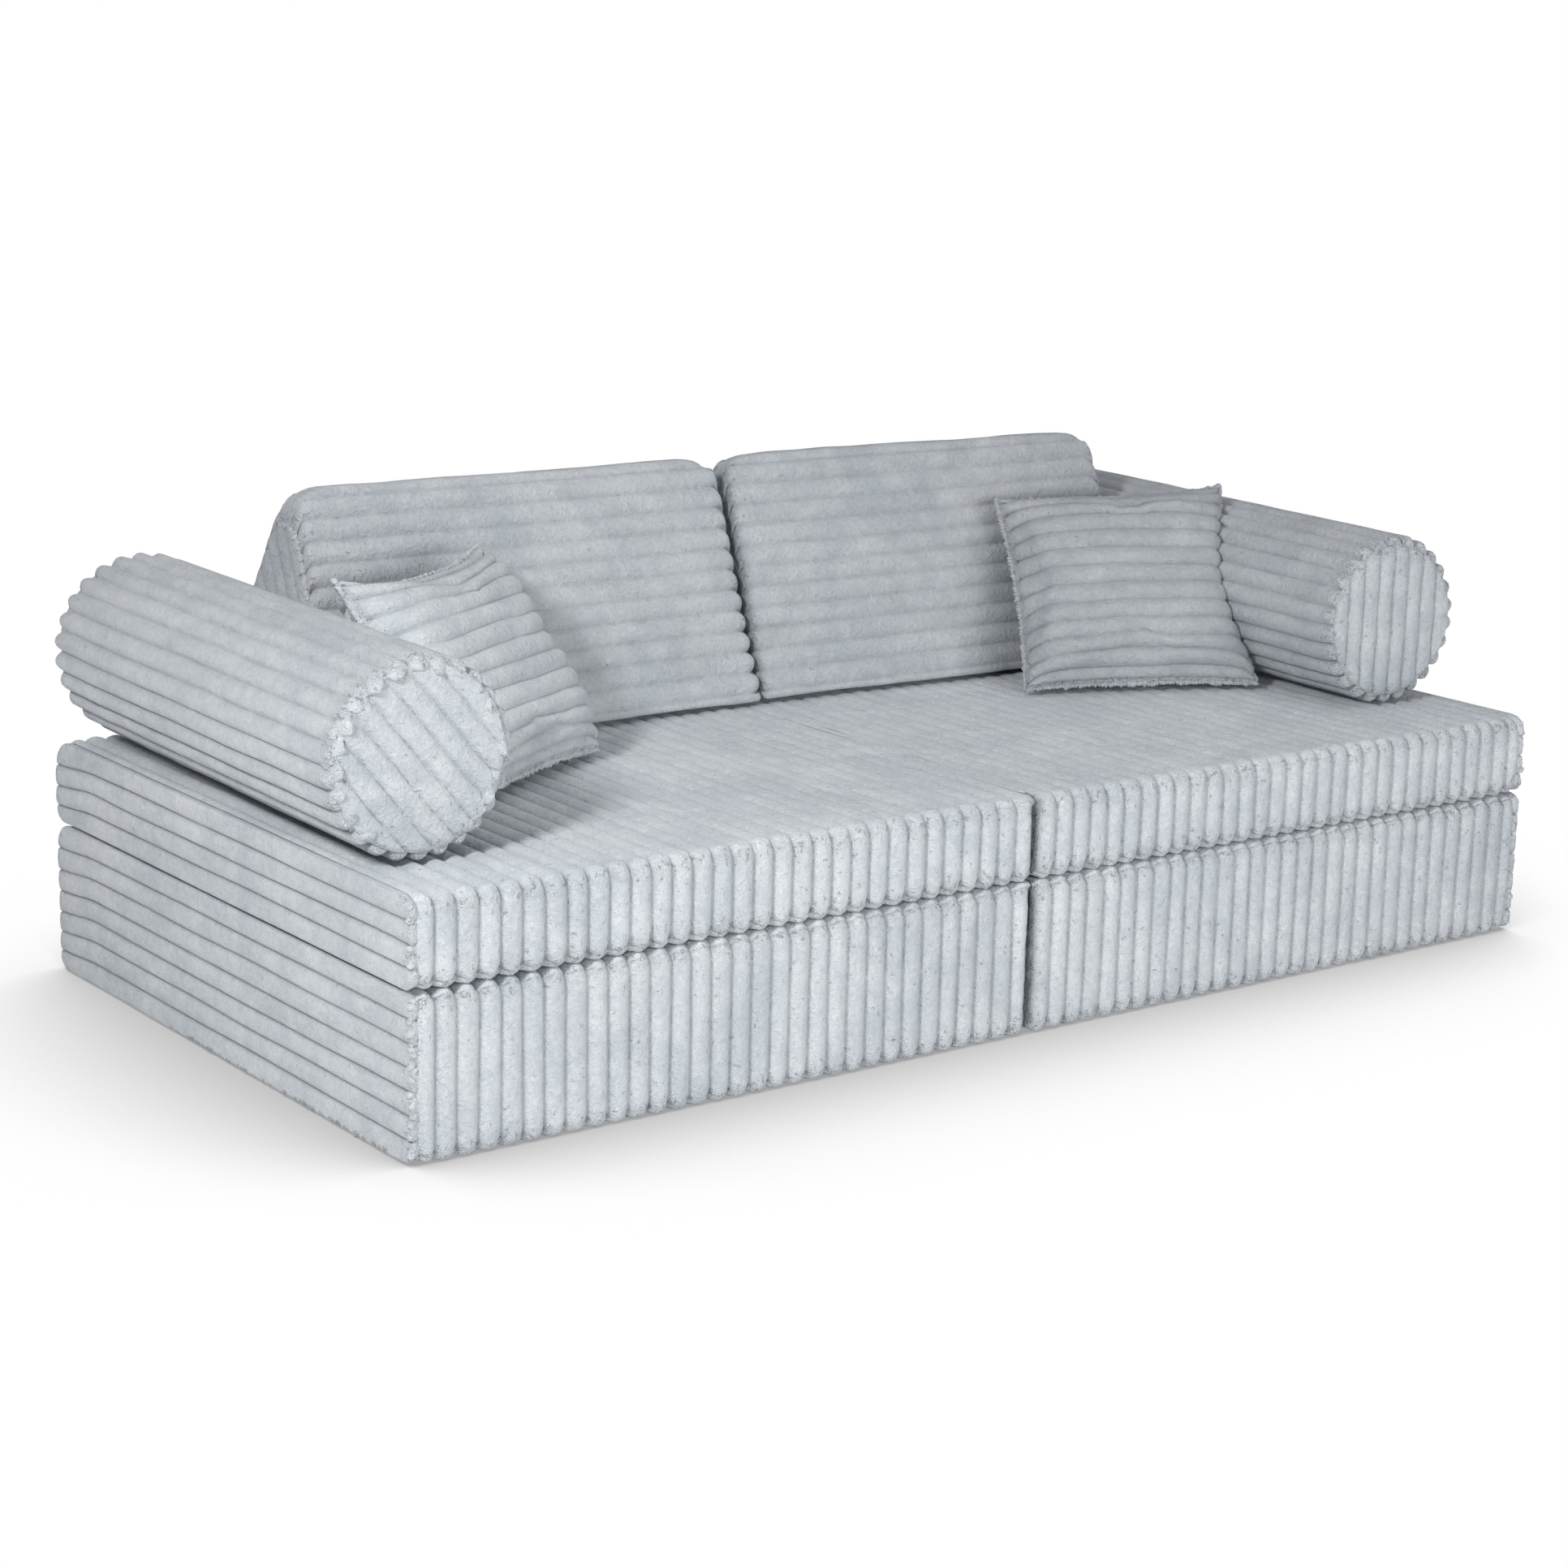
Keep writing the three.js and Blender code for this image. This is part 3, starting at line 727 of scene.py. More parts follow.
def seam_knots(loop, x, side, size, spacing, seed, inset, facing=(0, 0), least=-1.0, stretch=0.0):
    """Knots along the seam round the end of a module, where it faces at least so much that way."""
    at = np.arange(0, loop[2][-1], spacing)
    chance = np.random.default_rng(seed)
    at = at + chance.uniform(-KNOT_SHIFT, KNOT_SHIFT, len(at)) * spacing
    points, normals = resampled(loop, at)
    above = points[:, 1] > points[:, 1].min() + LOWEST_KNOT * size
    kept = (normals @ np.asarray(facing, float) > least) & above
    points, normals = points[kept], normals[kept]
    count = len(points)
    zigzag = np.where(np.arange(count) % 2 == 0, 1, -1) * KNOT_ZIGZAG * size
    deep = inset + chance.uniform(-KNOT_SINK, KNOT_SINK, count) * size
    seam = points - normals * deep[:, None]
    places = np.column_stack([np.full(count, x) + zigzag * side, seam])
    outwards = np.column_stack([np.full(count, side * KNOT_OUT_OF_END), normals * KNOT_OUT_OF_SIDE])
    return knots(places, outwards, size, seed + 1, stretch)


# Blocks: base and seat mattress halves

BLOCK_SEAM = 6 * MM
BLOCK_STEP = 11 * MM
BLOCK_ARC_STEPS = 7
FINE_STEPS = 4000
BLOCK_ZIP = 540 * MM
SLOT_HALF = 9 * MM
SLOT_EDGE = 1 * MM
SLOT_SLACK = 0.5 * MM
SLOT_DEPTH = 8.5 * MM

# How deep the grooves are, and how the ribs end
SIDE_GROOVE = 7.5 * MM
TOP_GROOVE = 5 * MM
UNDER_GROOVE = 3 * MM
TOP_DEEPER = 5 * MM
JOINT_NOTCH = 13 * MM
EDGE_NOTCH = 6 * MM
NOTCH_REACH = 8 * MM
JOINT_TIP = 1.2 * MM
BLOCK_FULLNESS = 0.85
POINTED_FLATTER = 0.7
FRONT_VALLEY = 0.05
BLOCK_LUMP = 0.9 * MM
BLOCK_LUMPS_ROUND = 26
BLOCK_SWAY = 1.1 * MM
BLOCK_SWAYS_ROUND = 14
BLOCK_STREAKS_ROUND = 16
END_ROUND = 3 * MM
END_ROUND_RIBS = 0.5
CORNER_ROUND = 7 * MM
CORNER_ROUND_RIBS = 0.9
CORNER_REACH = 20 * MM

# The end that meets the neighbour block
TOP_JOINT = 0.85
INNER_SWAY = 0.8
INNER_RAGGED = 2 * MM
INNER_RAGGED_RIBS = 0.2
INNER_RAGS_ROUND = 110
INNER_REACH = 3 * MM
INNER_SINK = 8 * MM
INNER_SHADE = 0.75

# How dark the grooves are painted, as painted shade, how frayed the edges, and how light the pile is painted,
# with the tops as painted light and the joints as painted shade
FRONT_LINE = 0.3
TOP_LINE = 0.25
POINTED_LINE = 0.9
OUTER_LINE = 0.3
INNER_LINE = 0.6
INNER_LINE_RIBS = 0.16
FRONT_FRAY = 0.2
EDGE_FRAY = 0.8
EDGE_FRAY_REACH = 16 * MM
END_FRAY = 0.5
END_FRAY_RIBS = 0.6
TOP_LESS_FRAYED = 0.6
TOP_PAINTED_LIGHT = 0.1
JOINT_SHADE = 0.4

BLOCK_PANEL_BULGE = 6 * MM
BLOCK_PANEL_STEP = 6 * MM
BLOCK_PANEL_ARC_STEPS = 8
BLOCK_PANEL_SINK = 1.5 * MM
BLOCK_PANEL_ROUNDER = 6 * MM
BLOCK_DROOP = 9 * MM
KNOT_SPACING = 8 * MM
BLOCK_KNOT = 4.4 * MM
BLOCK_KNOT_IN = 6 * MM
BLOCK_KNOT_INSET = 6.5 * MM


def block_wrap(width, depth, height, corners, loop, notches, inner, seed):
    """The quilted sleeve of a block: its ribs run round the front, top, back and underside."""
    fine = np.linspace(0, loop[2][-1], FINE_STEPS)
    fine_points = resampled(loop, fine)[0]
    zip_at = fine[np.argmin(np.hypot(fine_points[:, 0] - depth / 2, fine_points[:, 1] - height / 2))]
    slot_edges = [zip_at + side * reach for side in (-1, 1) for reach in (SLOT_HALF, SLOT_HALF + SLOT_EDGE)]
    at = np.sort(np.concatenate([loop[2][:-1], slot_edges]))
    points, normals = resampled(loop, at)
    at = np.append(at, loop[2][-1])
    corner_at = [at[np.argmin((points[:, 0] - y) ** 2 + (points[:, 1] - z) ** 2)] for y, z in corners]
    away = [distance_round(at, place) for place in corner_at]
    nearest = np.min(away, axis=0)
    notched = [(notch, fading(each, NOTCH_REACH)) for notch, each in zip(notches, away)]
    pointed = np.max([near * notch / JOINT_NOTCH for notch, near in notched], axis=0)

    side_on = normals[:, 0] ** 2
    top_or_under = np.where(normals[:, 1] > 0, TOP_GROOVE, UNDER_GROOVE)
    groove_depth = SIDE_GROOVE * side_on + top_or_under * (1 - side_on)
    groove_depth = groove_depth + sum(notch * near for notch, near in notched)
    front = np.abs(normals[:, 0])
    top = np.clip(normals[:, 1], 0, 1) ** 2
    under = np.clip(-normals[:, 1], 0, 1) ** 8

    ribs = round(width / RIB_PITCH)
    stops = rib_stops(ribs)
    rows = len(stops)
    columns = len(points)
    ends = np.minimum(stops, ribs - stops)[:, None]
    wrap_width = width - 2 * BLOCK_SEAM + INNER_REACH
    x = ((stops / ribs - 0.5) * wrap_width + inner * INNER_REACH / 2)[:, None]
    inward = x * inner > 0
    outer = eased(-x * inner / (width / 2)) * top[None, :]
    top_joint = TOP_JOINT * eased(top * 2)[None, :]
    valley = FRONT_VALLEY * side_on * (1 - pointed)
    rise = rib_rise(stops[:, None], (BLOCK_FULLNESS - POINTED_FLATTER * pointed)[None, :], valley[None, :])
    rise = np.where((ends < END_ROUND_RIBS) & inward, rise + (1 - rise) * top_joint, rise)

    lumps = (drift(rows, columns, (ribs, BLOCK_LUMPS_ROUND), seed, True) + 1) * BLOCK_LUMP * (1 - under)
    inset = (groove_depth[None, :] + TOP_DEEPER * outer) * (1 - rise) + lumps * rise
    rounded_end = np.where(inward, 1 - top_joint, 1.0)
    inset = inset + END_ROUND * (1 - eased(ends / END_ROUND_RIBS)) * rounded_end
    inset = inset + JOINT_TIP * pointed[None, :] ** 3
    cut = fading(nearest, CORNER_REACH)[None, :] * (x * inner < 0)
    inset = inset + CORNER_ROUND * cut * (1 - eased(ends / CORNER_ROUND_RIBS))
    slot = (normals[:, 0] > 0.99) & (np.abs(points[:, 1] - height / 2) < SLOT_HALF + SLOT_SLACK)
    inset = np.where(slot[None, :] & (np.abs(x) < BLOCK_ZIP / 2), SLOT_DEPTH, inset)

    sway = drift(rows, columns, (ribs, BLOCK_SWAYS_ROUND), seed + 1, True) * BLOCK_SWAY
    sway = sway * np.clip(ends + INNER_SWAY * inward, 0, 1)
    ragged = drift(rows, columns, (2, INNER_RAGS_ROUND), seed + 3, True) * INNER_RAGGED
    sway = sway + ragged * fading(ends, INNER_RAGGED_RIBS) * inward
    y = points[:, 0] - normals[:, 0] * inset
    z = points[:, 1] - normals[:, 1] * inset

    # Grooves are painted darker as painted shade: more at the joint notches, at the outer end of the top
    # where the bolster's shadow falls, and at the front where two blocks meet.
    line = FRONT_LINE * front + TOP_LINE * top + POINTED_LINE * pointed
    groove = in_groove(rise) * (line[None, :] + OUTER_LINE * outer)
    groove = groove + INNER_LINE * fading(ends, INNER_LINE_RIBS) * inward * front[None, :]
    fray = EDGE_FRAY * fading(nearest, EDGE_FRAY_REACH) + FRONT_FRAY * front
    fray = fray[None, :] + END_FRAY * (1 - eased(ends / END_FRAY_RIBS))
    fray = fray * (1 - TOP_LESS_FRAYED * top[None, :])
    streaks = nap_streaks(columns, rows, ribs, BLOCK_STREAKS_ROUND, seed + 5, False).T
    # The tops are painted lighter (painted light) and the grooves at the joints darker (painted shade); the
    # streaks are the pile's own random tone.
    nap_and_light = 1 + TOP_PAINTED_LIGHT * top[None, :] + streaks
    nap_and_light = nap_and_light - JOINT_SHADE * pointed[None, :] * in_groove(rise)
    return tube(x + sway, y, z, groove, fray, nap_and_light)


def block_panel(corners, radii, panel_ribs, meets_neighbour, seed):
    """The panel in a block's end. Where blocks meet, it is sunk, and painted dark all over as painted shade.
    """
    if not meets_neighbour:
        radii = [radius + BLOCK_PANEL_ROUNDER for radius in radii]
    outline, normals, _ = rounded_loop(corners, radii, BLOCK_PANEL_STEP, BLOCK_PANEL_ARC_STEPS)
    sunk = BLOCK_PANEL_SINK
    if meets_neighbour:
        sunk = sunk + (INNER_SINK - sunk) * (1 - np.clip(normals[:, 1:], 0, 1) ** 2)
    panel = ribbed_panel(
        outline - normals * sunk, (1, 0), panel_ribs, BLOCK_PANEL_BULGE, columns=46, seed=seed,
        line=0.7, fullness=0.9, rolled=0.6, droop=BLOCK_DROOP,
    )
    if meets_neighbour:
        # Painted shade over the whole sunk panel.
        panel.marks["groove"] = np.maximum(panel.marks["groove"], INNER_SHADE)
    return panel


def block_module(name, radii, notches, panel_ribs, seed, on_floor):
    """The cover of a block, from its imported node's box.

    Radii and notches are for its edges: front bottom, back bottom, back top and front top.
    """
    low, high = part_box(name + "_cover")
    width, depth, height = high - low
    place = Matrix.Translation(((low.x + high.x) / 2, (low.y + high.y) / 2, low.z))
    corners = [(-depth / 2, 0), (depth / 2, 0), (depth / 2, height), (-depth / 2, height)]
    inner = 1 if low.x + high.x < 0 else -1
    loop = rounded_loop(corners, radii, BLOCK_STEP, BLOCK_ARC_STEPS)
    sheets = {"wrap": block_wrap(width, depth, height, corners, loop, notches, inner, seed)}
    for side, label in ((-1, "left"), (1, "right")):
        panel = block_panel(corners, radii, panel_ribs, side == inner, seed + 10 * side + 20)
        sheets["panel_" + label] = on_end(panel, side * width / 2, side)
    sheets["seam_knots"] = seam_knots(
        loop, -inner * (width / 2 - BLOCK_KNOT_IN), -inner, BLOCK_KNOT, KNOT_SPACING, seed + 40,
        BLOCK_KNOT_INSET, facing=(-1, 0), least=0.6,
    )
    if on_floor:
        sheets["hem_fray"] = hem_fray(width, depth, -inner, seed + 60)
    make_cover(name, sheets, place)


HEM_TUFT = 3 * MM
HEM_SPACING = 5 * MM
HEM_SPACING_CHANCE = 2
HEM_IN = 4 * MM
HEM_HANG = (1.5, 2.1)
HEM_SPAN_SHARES = (-0.44, 0.15)
HEM_DARKER = 0.62


def hem_fray(width, depth, side, seed):
    """Worn pile that hangs from the hem under the outer side of a base block."""
    chance = np.random.default_rng(seed)
    start, end = HEM_SPAN_SHARES
    y = np.arange(start * depth, end * depth, HEM_SPACING)
    y = y + chance.uniform(-HEM_SPACING_CHANCE, HEM_SPACING_CHANCE, len(y)) * MM
    x = side * (width / 2 - HEM_IN + chance.uniform(-1, 1, len(y)) * MM)
    z = HEM_TUFT * chance.uniform(*HEM_HANG, len(y))
    fray = knots(np.stack([x, y, z], -1), np.tile([0, 0, -1.0], (len(y), 1)), HEM_TUFT, seed + 1)
    # The hanging tufts are drawn darker than the rest of the pile.
    fray.marks["nap_and_light"] *= HEM_DARKER
    return fray


BASE_RADII = [12 * MM, 22 * MM, 24 * MM, 9 * MM]
SEAT_RADII = [9 * MM, 26 * MM, 30 * MM, 17 * MM]
BASE_NOTCHES = [EDGE_NOTCH, EDGE_NOTCH, JOINT_NOTCH, JOINT_NOTCH]
SEAT_NOTCHES = [JOINT_NOTCH, JOINT_NOTCH, 1 * MM, 1 * MM]
BASE_PANEL_RIBS = 7
SEAT_PANEL_RIBS = 4
block_module("base_left", BASE_RADII, BASE_NOTCHES, BASE_PANEL_RIBS, seed=100, on_floor=True)
block_module("base_right", BASE_RADII, BASE_NOTCHES, BASE_PANEL_RIBS, seed=200, on_floor=True)
block_module("seat_left", SEAT_RADII, SEAT_NOTCHES, SEAT_PANEL_RIBS, seed=300, on_floor=False)
block_module("seat_right", SEAT_RADII, SEAT_NOTCHES, SEAT_PANEL_RIBS, seed=400, on_floor=False)


# Bolsters

BOLSTER_LENGTH = 716 * MM
BOLSTER_DEPTH = 8.5 * MM
BOLSTER_FULLNESS = 0.4
BOLSTER_UNDER_FULLER = 0.5
BOLSTER_UNDER_VALLEY = 0.05
BOLSTER_UNDER_START = 0.3
BOLSTER_STEPS = 64
BOLSTER_LUMP = 0.8 * MM
BOLSTER_LUMPS_ALONG = 16
BOLSTER_SWAY = math.radians(0.55)
BOLSTER_SWAYS_ALONG = 9
BOLSTER_STREAKS_ALONG = 12
BOLSTER_END = 5 * MM
BOLSTER_END_RUN = 9 * MM
BOLSTER_END_SHARES = np.array([0, 0.06, 0.16, 0.3, 0.5, 0.75])
BOLSTER_PUCKER = 6 * MM
BOLSTER_PUCKER_REACH = 14 * MM
BOLSTER_LINE = 0.1
BOLSTER_UNDER_LINE = 0.5
BOLSTER_ZIP = 480 * MM
BOLSTER_ZIP_ANGLE = math.radians(225)
DISC_RIBS = 8
DISC_BULGE = 7 * MM
DISC_STEPS = 120
RIM_ARC_STEPS = 24
RIM_KNOT = 10.5 * MM
RIM_KNOT_SPACING = 15 * MM
RIM_KNOT_IN = 9.5 * MM
RIM_KNOT_INSET = 13 * MM
# The pile value of each bolster paints its whole cover a little darker: painted shade.
BOLSTERS = {
    "bolster_left": {"turn": -1.7, "disc_turn": 40, "rim": 10 * MM, "tufts": True, "nap_and_light": 0.955, "seed": 500},
    "bolster_right": {"turn": -3.8, "disc_turn": 0, "rim": 12 * MM, "tufts": False, "nap_and_light": 0.94, "seed": 600},
}


def bolster_place(name):
    low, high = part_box(name + "_cover")
    turn = Matrix.Rotation(math.pi / 2 + math.radians(BOLSTERS[name]["turn"]), 4, "Z")
    return Matrix.Translation((low + high) / 2) @ turn


def bolster_radius(name):
    low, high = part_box(name + "_cover")
    return (high.z - low.z) / 2


def with_end_steps(width, run, shares, count):
    """Places along a sleeve, closer together over the run at each end, and how far each is from an end."""
    steps = shares * run
    inner = np.linspace(run, width - run, count)
    x = np.concatenate([steps, inner, width - steps[::-1]]) - width / 2
    return x, width / 2 - np.abs(x)


def bolster_wrap(radius, seed):
    """The ribbed sleeve of a bolster, fuller underneath, drawn in at its ends."""
    ribs = round(2 * math.pi * radius / RIB_PITCH)
    stops = rib_stops(ribs)[:-1]
    turned = stops * 2 * math.pi / ribs
    underneath = eased(np.clip(BOLSTER_UNDER_START - np.sin(turned), 0, 1))
    fullness = BOLSTER_FULLNESS + BOLSTER_UNDER_FULLER * underneath
    rise = rib_rise(stops, fullness, BOLSTER_UNDER_VALLEY * underneath)[None, :]
    wrap_length = BOLSTER_LENGTH - 2 * BLOCK_SEAM
    x, from_end = with_end_steps(wrap_length, BOLSTER_END_RUN, BOLSTER_END_SHARES, BOLSTER_STEPS)
    rows = len(x)
    columns = len(stops)
    tuck = 1 - quarter_round(np.clip(from_end / BOLSTER_END_RUN, 0, 1))
    puckered = fading(from_end, BOLSTER_PUCKER_REACH)[:, None]
    lumps = (drift(rows, columns, (BOLSTER_LUMPS_ALONG, ribs), seed, True) + 1) * BOLSTER_LUMP
    depth = BOLSTER_DEPTH + BOLSTER_PUCKER * puckered
    inset = depth * (1 - rise) + lumps * rise + (BOLSTER_END * tuck)[:, None]
    sway = drift(rows, columns, (BOLSTER_SWAYS_ALONG, ribs), seed + 1, True) * BOLSTER_SWAY
    angle = turned[None, :] + sway
    from_zip = np.abs((angle - BOLSTER_ZIP_ANGLE + math.pi) % (2 * math.pi) - math.pi) * radius
    inset = np.where((from_zip < SLOT_HALF) & (np.abs(x)[:, None] < BOLSTER_ZIP / 2), SLOT_DEPTH, inset)
    # Painted shade in the grooves, darker on the underside.
    groove = in_groove(rise) * (BOLSTER_LINE + BOLSTER_UNDER_LINE * underneath)
    nap_and_light = 1 + nap_streaks(rows, columns, ribs, BOLSTER_STREAKS_ALONG, seed + 5, False)
    return tube(
        x[:, None], (radius - inset) * np.cos(angle), (radius - inset) * np.sin(angle),
        np.broadcast_to(groove, inset.shape), np.broadcast_to(puckered, inset.shape), nap_and_light,
    )


def bolster_module(name):
    facts = BOLSTERS[name]
    radius = bolster_radius(name)
    seed = facts["seed"]
    sheets = {"wrap": bolster_wrap(radius, seed)}
    angles = np.linspace(0, 2 * np.pi, DISC_STEPS, endpoint=False)
    outline = (radius - facts["rim"]) * np.stack([np.cos(angles), np.sin(angles)], -1)
    tilt = math.radians(90 - facts["disc_turn"])
    for side, label in ((-1, "front"), (1, "back")):
        disc = ribbed_panel(
            outline, (math.cos(tilt) * -side, math.sin(tilt)), DISC_RIBS, DISC_BULGE, columns=26,
            seed=seed + 30 + side, line=0.22, fullness=0.6, rolled=0.4,
        )
        sheets["disc_" + label] = on_end(disc, side * BOLSTER_LENGTH / 2, side)
    if facts["tufts"]:
        corners = [(-radius, -radius), (radius, -radius), (radius, radius), (-radius, radius)]
        ring = rounded_loop(corners, [radius * 0.999] * 4, BLOCK_STEP, RIM_ARC_STEPS)
        sheets["seam_knots"] = seam_knots(
            ring, RIM_KNOT_IN - BOLSTER_LENGTH / 2, -1, RIM_KNOT, RIM_KNOT_SPACING, seed + 50,
            RIM_KNOT_INSET, stretch=-0.6,
        )
    make_cover(name, sheets, bolster_place(name), facts["nap_and_light"])


for bolster_name in BOLSTERS:
    bolster_module(bolster_name)


# Wedge back cushions

WEDGE_WIDTH = 622 * MM
WEDGE_HEIGHT = 311 * MM
WEDGE_FRONT_LEAN = math.radians(21.35)
WEDGE_BACK_LEAN = math.radians(33)
WEDGE_TOP_RADIUS = 25 * MM
WEDGE_FOOT_RADIUS = 14 * MM
WEDGE_STEP = 4 * MM
WEDGE_ARC_STEPS = 12
WEDGE_DEPTH = 7 * MM
WEDGE_FULLNESS = 0.3
WEDGE_UNDER_STEPS = 12
WEDGE_STEPS = 84
WEDGE_LUMP = 1.0 * MM
WEDGE_LUMPS_ALONG = 14
WEDGE_SAG = 1.5 * MM
WEDGE_SAGS = (5, 6)
WEDGE_STREAKS_ALONG = 16

# The wedge's ends are drawn in, over a longer run at the top, a shorter one where the two wedges meet
WEDGE_END_INSET = 8 * MM
WEDGE_END_FOOT = 2 * MM
WEDGE_END_TOP_RADIUS = 44 * MM
WEDGE_END_RUN = 46 * MM
WEDGE_END_SHARES = np.array([0, 0.02, 0.06, 0.13, 0.24, 0.4, 0.6, 0.8])
WEDGE_TOP_START = 0.45
WEDGE_TOP_RUN = 0.4
WEDGE_FACE_RUN = 15 * MM
WEDGE_JOINT_RUN = 7 * MM
WEDGE_END_REACH = 9 * MM
WEDGE_END_DEEPER = 5 * MM
WEDGE_GAP_DEEPER = 3 * MM
WEDGE_REACH = 4 * MM
WEDGE_SQUASH = 3 * MM
WEDGE_SQUASH_SHARE = 0.6
WEDGE_PANEL_BULGE = 6.5 * MM
WEDGE_PANEL_SINK = 5 * MM
WEDGE_JOINT_SINK = 11 * MM

# How dark the grooves and the gap between the wedges are painted (painted shade), how frayed the ends, and
# how dark the wedges are painted all over (painted shade)
WEDGE_LINE = 0.12
WEDGE_GAP_LINE = 0.7
WEDGE_GAP_SHADE = 0.3
WEDGE_END_FRAY = 0.9
WEDGE_PAINTED_SHADE = 0.92
WEDGE_GAP_PAINTED_SHADE = 0.7
WEDGE_ZIP = 420 * MM
WEDGE_ZIP_HEIGHT = 62 * MM
WEDGE_KNOT = 4 * MM
WEDGE_KNOT_IN = 6 * MM
WEDGE_KNOT_INSET = 7.5 * MM
WEDGES = {
    "back_left": {"turn": 0.0, "neighbour": 1, "seed": 700},
    "back_right": {"turn": -2.5, "neighbour": -1, "seed": 800},
}


def wedge_depth():
    """From the front foot to the back foot, before their corners are rounded."""
    top = WEDGE_HEIGHT - WEDGE_TOP_RADIUS
    leans = (WEDGE_FRONT_LEAN, WEDGE_BACK_LEAN)
    return sum((WEDGE_TOP_RADIUS + top * math.sin(lean)) / math.cos(lean) for lean in leans)


def wedge_loop(inset, foot, top_radius):
    """A wedge's outline seen from its end, drawn in by the inset and raised by the foot."""
    front = inset / math.cos(WEDGE_FRONT_LEAN) + foot * math.tan(WEDGE_FRONT_LEAN)
    back = wedge_depth() - inset / math.cos(WEDGE_BACK_LEAN) - foot * math.tan(WEDGE_BACK_LEAN)
    rise = (back - front) / (math.tan(WEDGE_FRONT_LEAN) + math.tan(WEDGE_BACK_LEAN))
    corners = [(front, foot), (back, foot), (front + rise * math.tan(WEDGE_FRONT_LEAN), foot + rise)]
    radii = [WEDGE_FOOT_RADIUS, WEDGE_FOOT_RADIUS, top_radius]
    return rounded_loop(corners, radii, WEDGE_STEP, WEDGE_ARC_STEPS)


def wedge_place(name):
    low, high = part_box(name + "_cover")
    middle = (low + high) / 2
    turn = Matrix.Rotation(math.radians(WEDGES[name]["turn"]), 4, "Z")
    front, back = (
        WEDGE_FOOT_RADIUS / math.tan((math.pi / 2 - lean) / 2) - WEDGE_FOOT_RADIUS
        for lean in (WEDGE_FRONT_LEAN, WEDGE_BACK_LEAN)
    )
    local_middle = turn @ Vector((0, (front + wedge_depth() - back) / 2, 0))
    return Matrix.Translation((middle.x - local_middle.x, middle.y - local_middle.y, low.z)) @ turn


def wedge_wrap(end_loop, neighbour, seed):
    """The ribbed sleeve of a wedge: ribs across its front, top and back, and a plain underside."""
    middle_loop = wedge_loop(0, 0, WEDGE_TOP_RADIUS)
    total = middle_loop[2][-1]
    under = middle_loop[2][np.nonzero(np.abs(middle_loop[1][:, 1] + 1) < 1e-6)[0]]
    start = under.min()
    end = under.max()
    around = total - (end - start)
    ribs = round(around / RIB_PITCH)
    stops = rib_stops(ribs)
    plain = np.zeros(WEDGE_UNDER_STEPS)
    under_at = start + np.linspace(0, 1, WEDGE_UNDER_STEPS + 2)[1:-1] * (end - start)
    at = np.concatenate([end + stops / ribs * around, under_at])
    ribbed = np.concatenate([np.ones(len(stops)), plain])[None, :]
    rise = np.concatenate([rib_rise(stops, WEDGE_FULLNESS), plain])[None, :]
    mid_points, mid_normals = resampled(middle_loop, at)
    end_points, end_normals = resampled(end_loop, at * (end_loop[2][-1] / total))

    wrap_width = WEDGE_WIDTH - 2 * BLOCK_SEAM
    x, from_end = with_end_steps(wrap_width, WEDGE_END_RUN, WEDGE_END_SHARES, WEDGE_STEPS)
    x = x[:, None]
    from_end = from_end[:, None]
    rows = len(x)
    columns = len(at)
    inward = x * neighbour > 0
    at_top = eased((mid_normals[:, 1] - WEDGE_TOP_START) / WEDGE_TOP_RUN)[None, :]
    face_run = np.where(inward, WEDGE_JOINT_RUN, WEDGE_FACE_RUN)
    run = face_run + (WEDGE_END_RUN - face_run) * at_top
    tuck = (1 - quarter_round(np.clip(from_end / run, 0, 1)))[..., None]
    points = mid_points[None] * (1 - tuck) + end_points[None] * tuck
    normals = mid_normals[None] * (1 - tuck) + end_normals[None] * tuck
    normals = normals / np.linalg.norm(normals, axis=2)[..., None]

    near_end = fading(from_end, WEDGE_END_REACH)
    at_gap = near_end * inward
    depth = WEDGE_DEPTH + WEDGE_END_DEEPER * near_end + WEDGE_GAP_DEEPER * at_gap
    lumps = (drift(rows, columns, (WEDGE_LUMPS_ALONG, ribs), seed, True) + 1) * WEDGE_LUMP
    inset = (depth * (1 - rise) + lumps * rise) * ribbed
    zip_y = wedge_depth() - WEDGE_ZIP_HEIGHT * math.tan(WEDGE_BACK_LEAN)
    to_zip = np.hypot(mid_points[:, 0] - zip_y, mid_points[:, 1] - WEDGE_ZIP_HEIGHT)
    in_slot = (to_zip < SLOT_HALF + SLOT_EDGE)[None, :] & (np.abs(x) < WEDGE_ZIP / 2)
    inset = np.where(in_slot, SLOT_DEPTH, inset)
    sag = (drift(rows, columns, WEDGE_SAGS, seed + 2, True) - 1) * WEDGE_SAG
    inset = inset - sag * ribbed
    low_down = 1 - eased(mid_points[None, :, 1] / (WEDGE_HEIGHT * WEDGE_SQUASH_SHARE))
    closer = neighbour * (WEDGE_REACH + WEDGE_SQUASH * low_down) * eased(x * neighbour / (wrap_width / 2))

    # Painted shade in the grooves, darker near the gap between the wedges, and over the ends that face that
    # gap.
    groove = in_groove(rise) * (WEDGE_LINE + WEDGE_GAP_LINE * at_gap) * ribbed + WEDGE_GAP_SHADE * at_gap ** 4
    fray = np.broadcast_to(near_end * WEDGE_END_FRAY, inset.shape)
    nap_and_light = 1 + nap_streaks(rows, columns, ribs, WEDGE_STREAKS_ALONG, seed + 5, False)
    y = points[..., 0] - normals[..., 0] * inset
    z = points[..., 1] - normals[..., 1] * inset
    return tube(x + closer, y, z, groove, fray, nap_and_light)


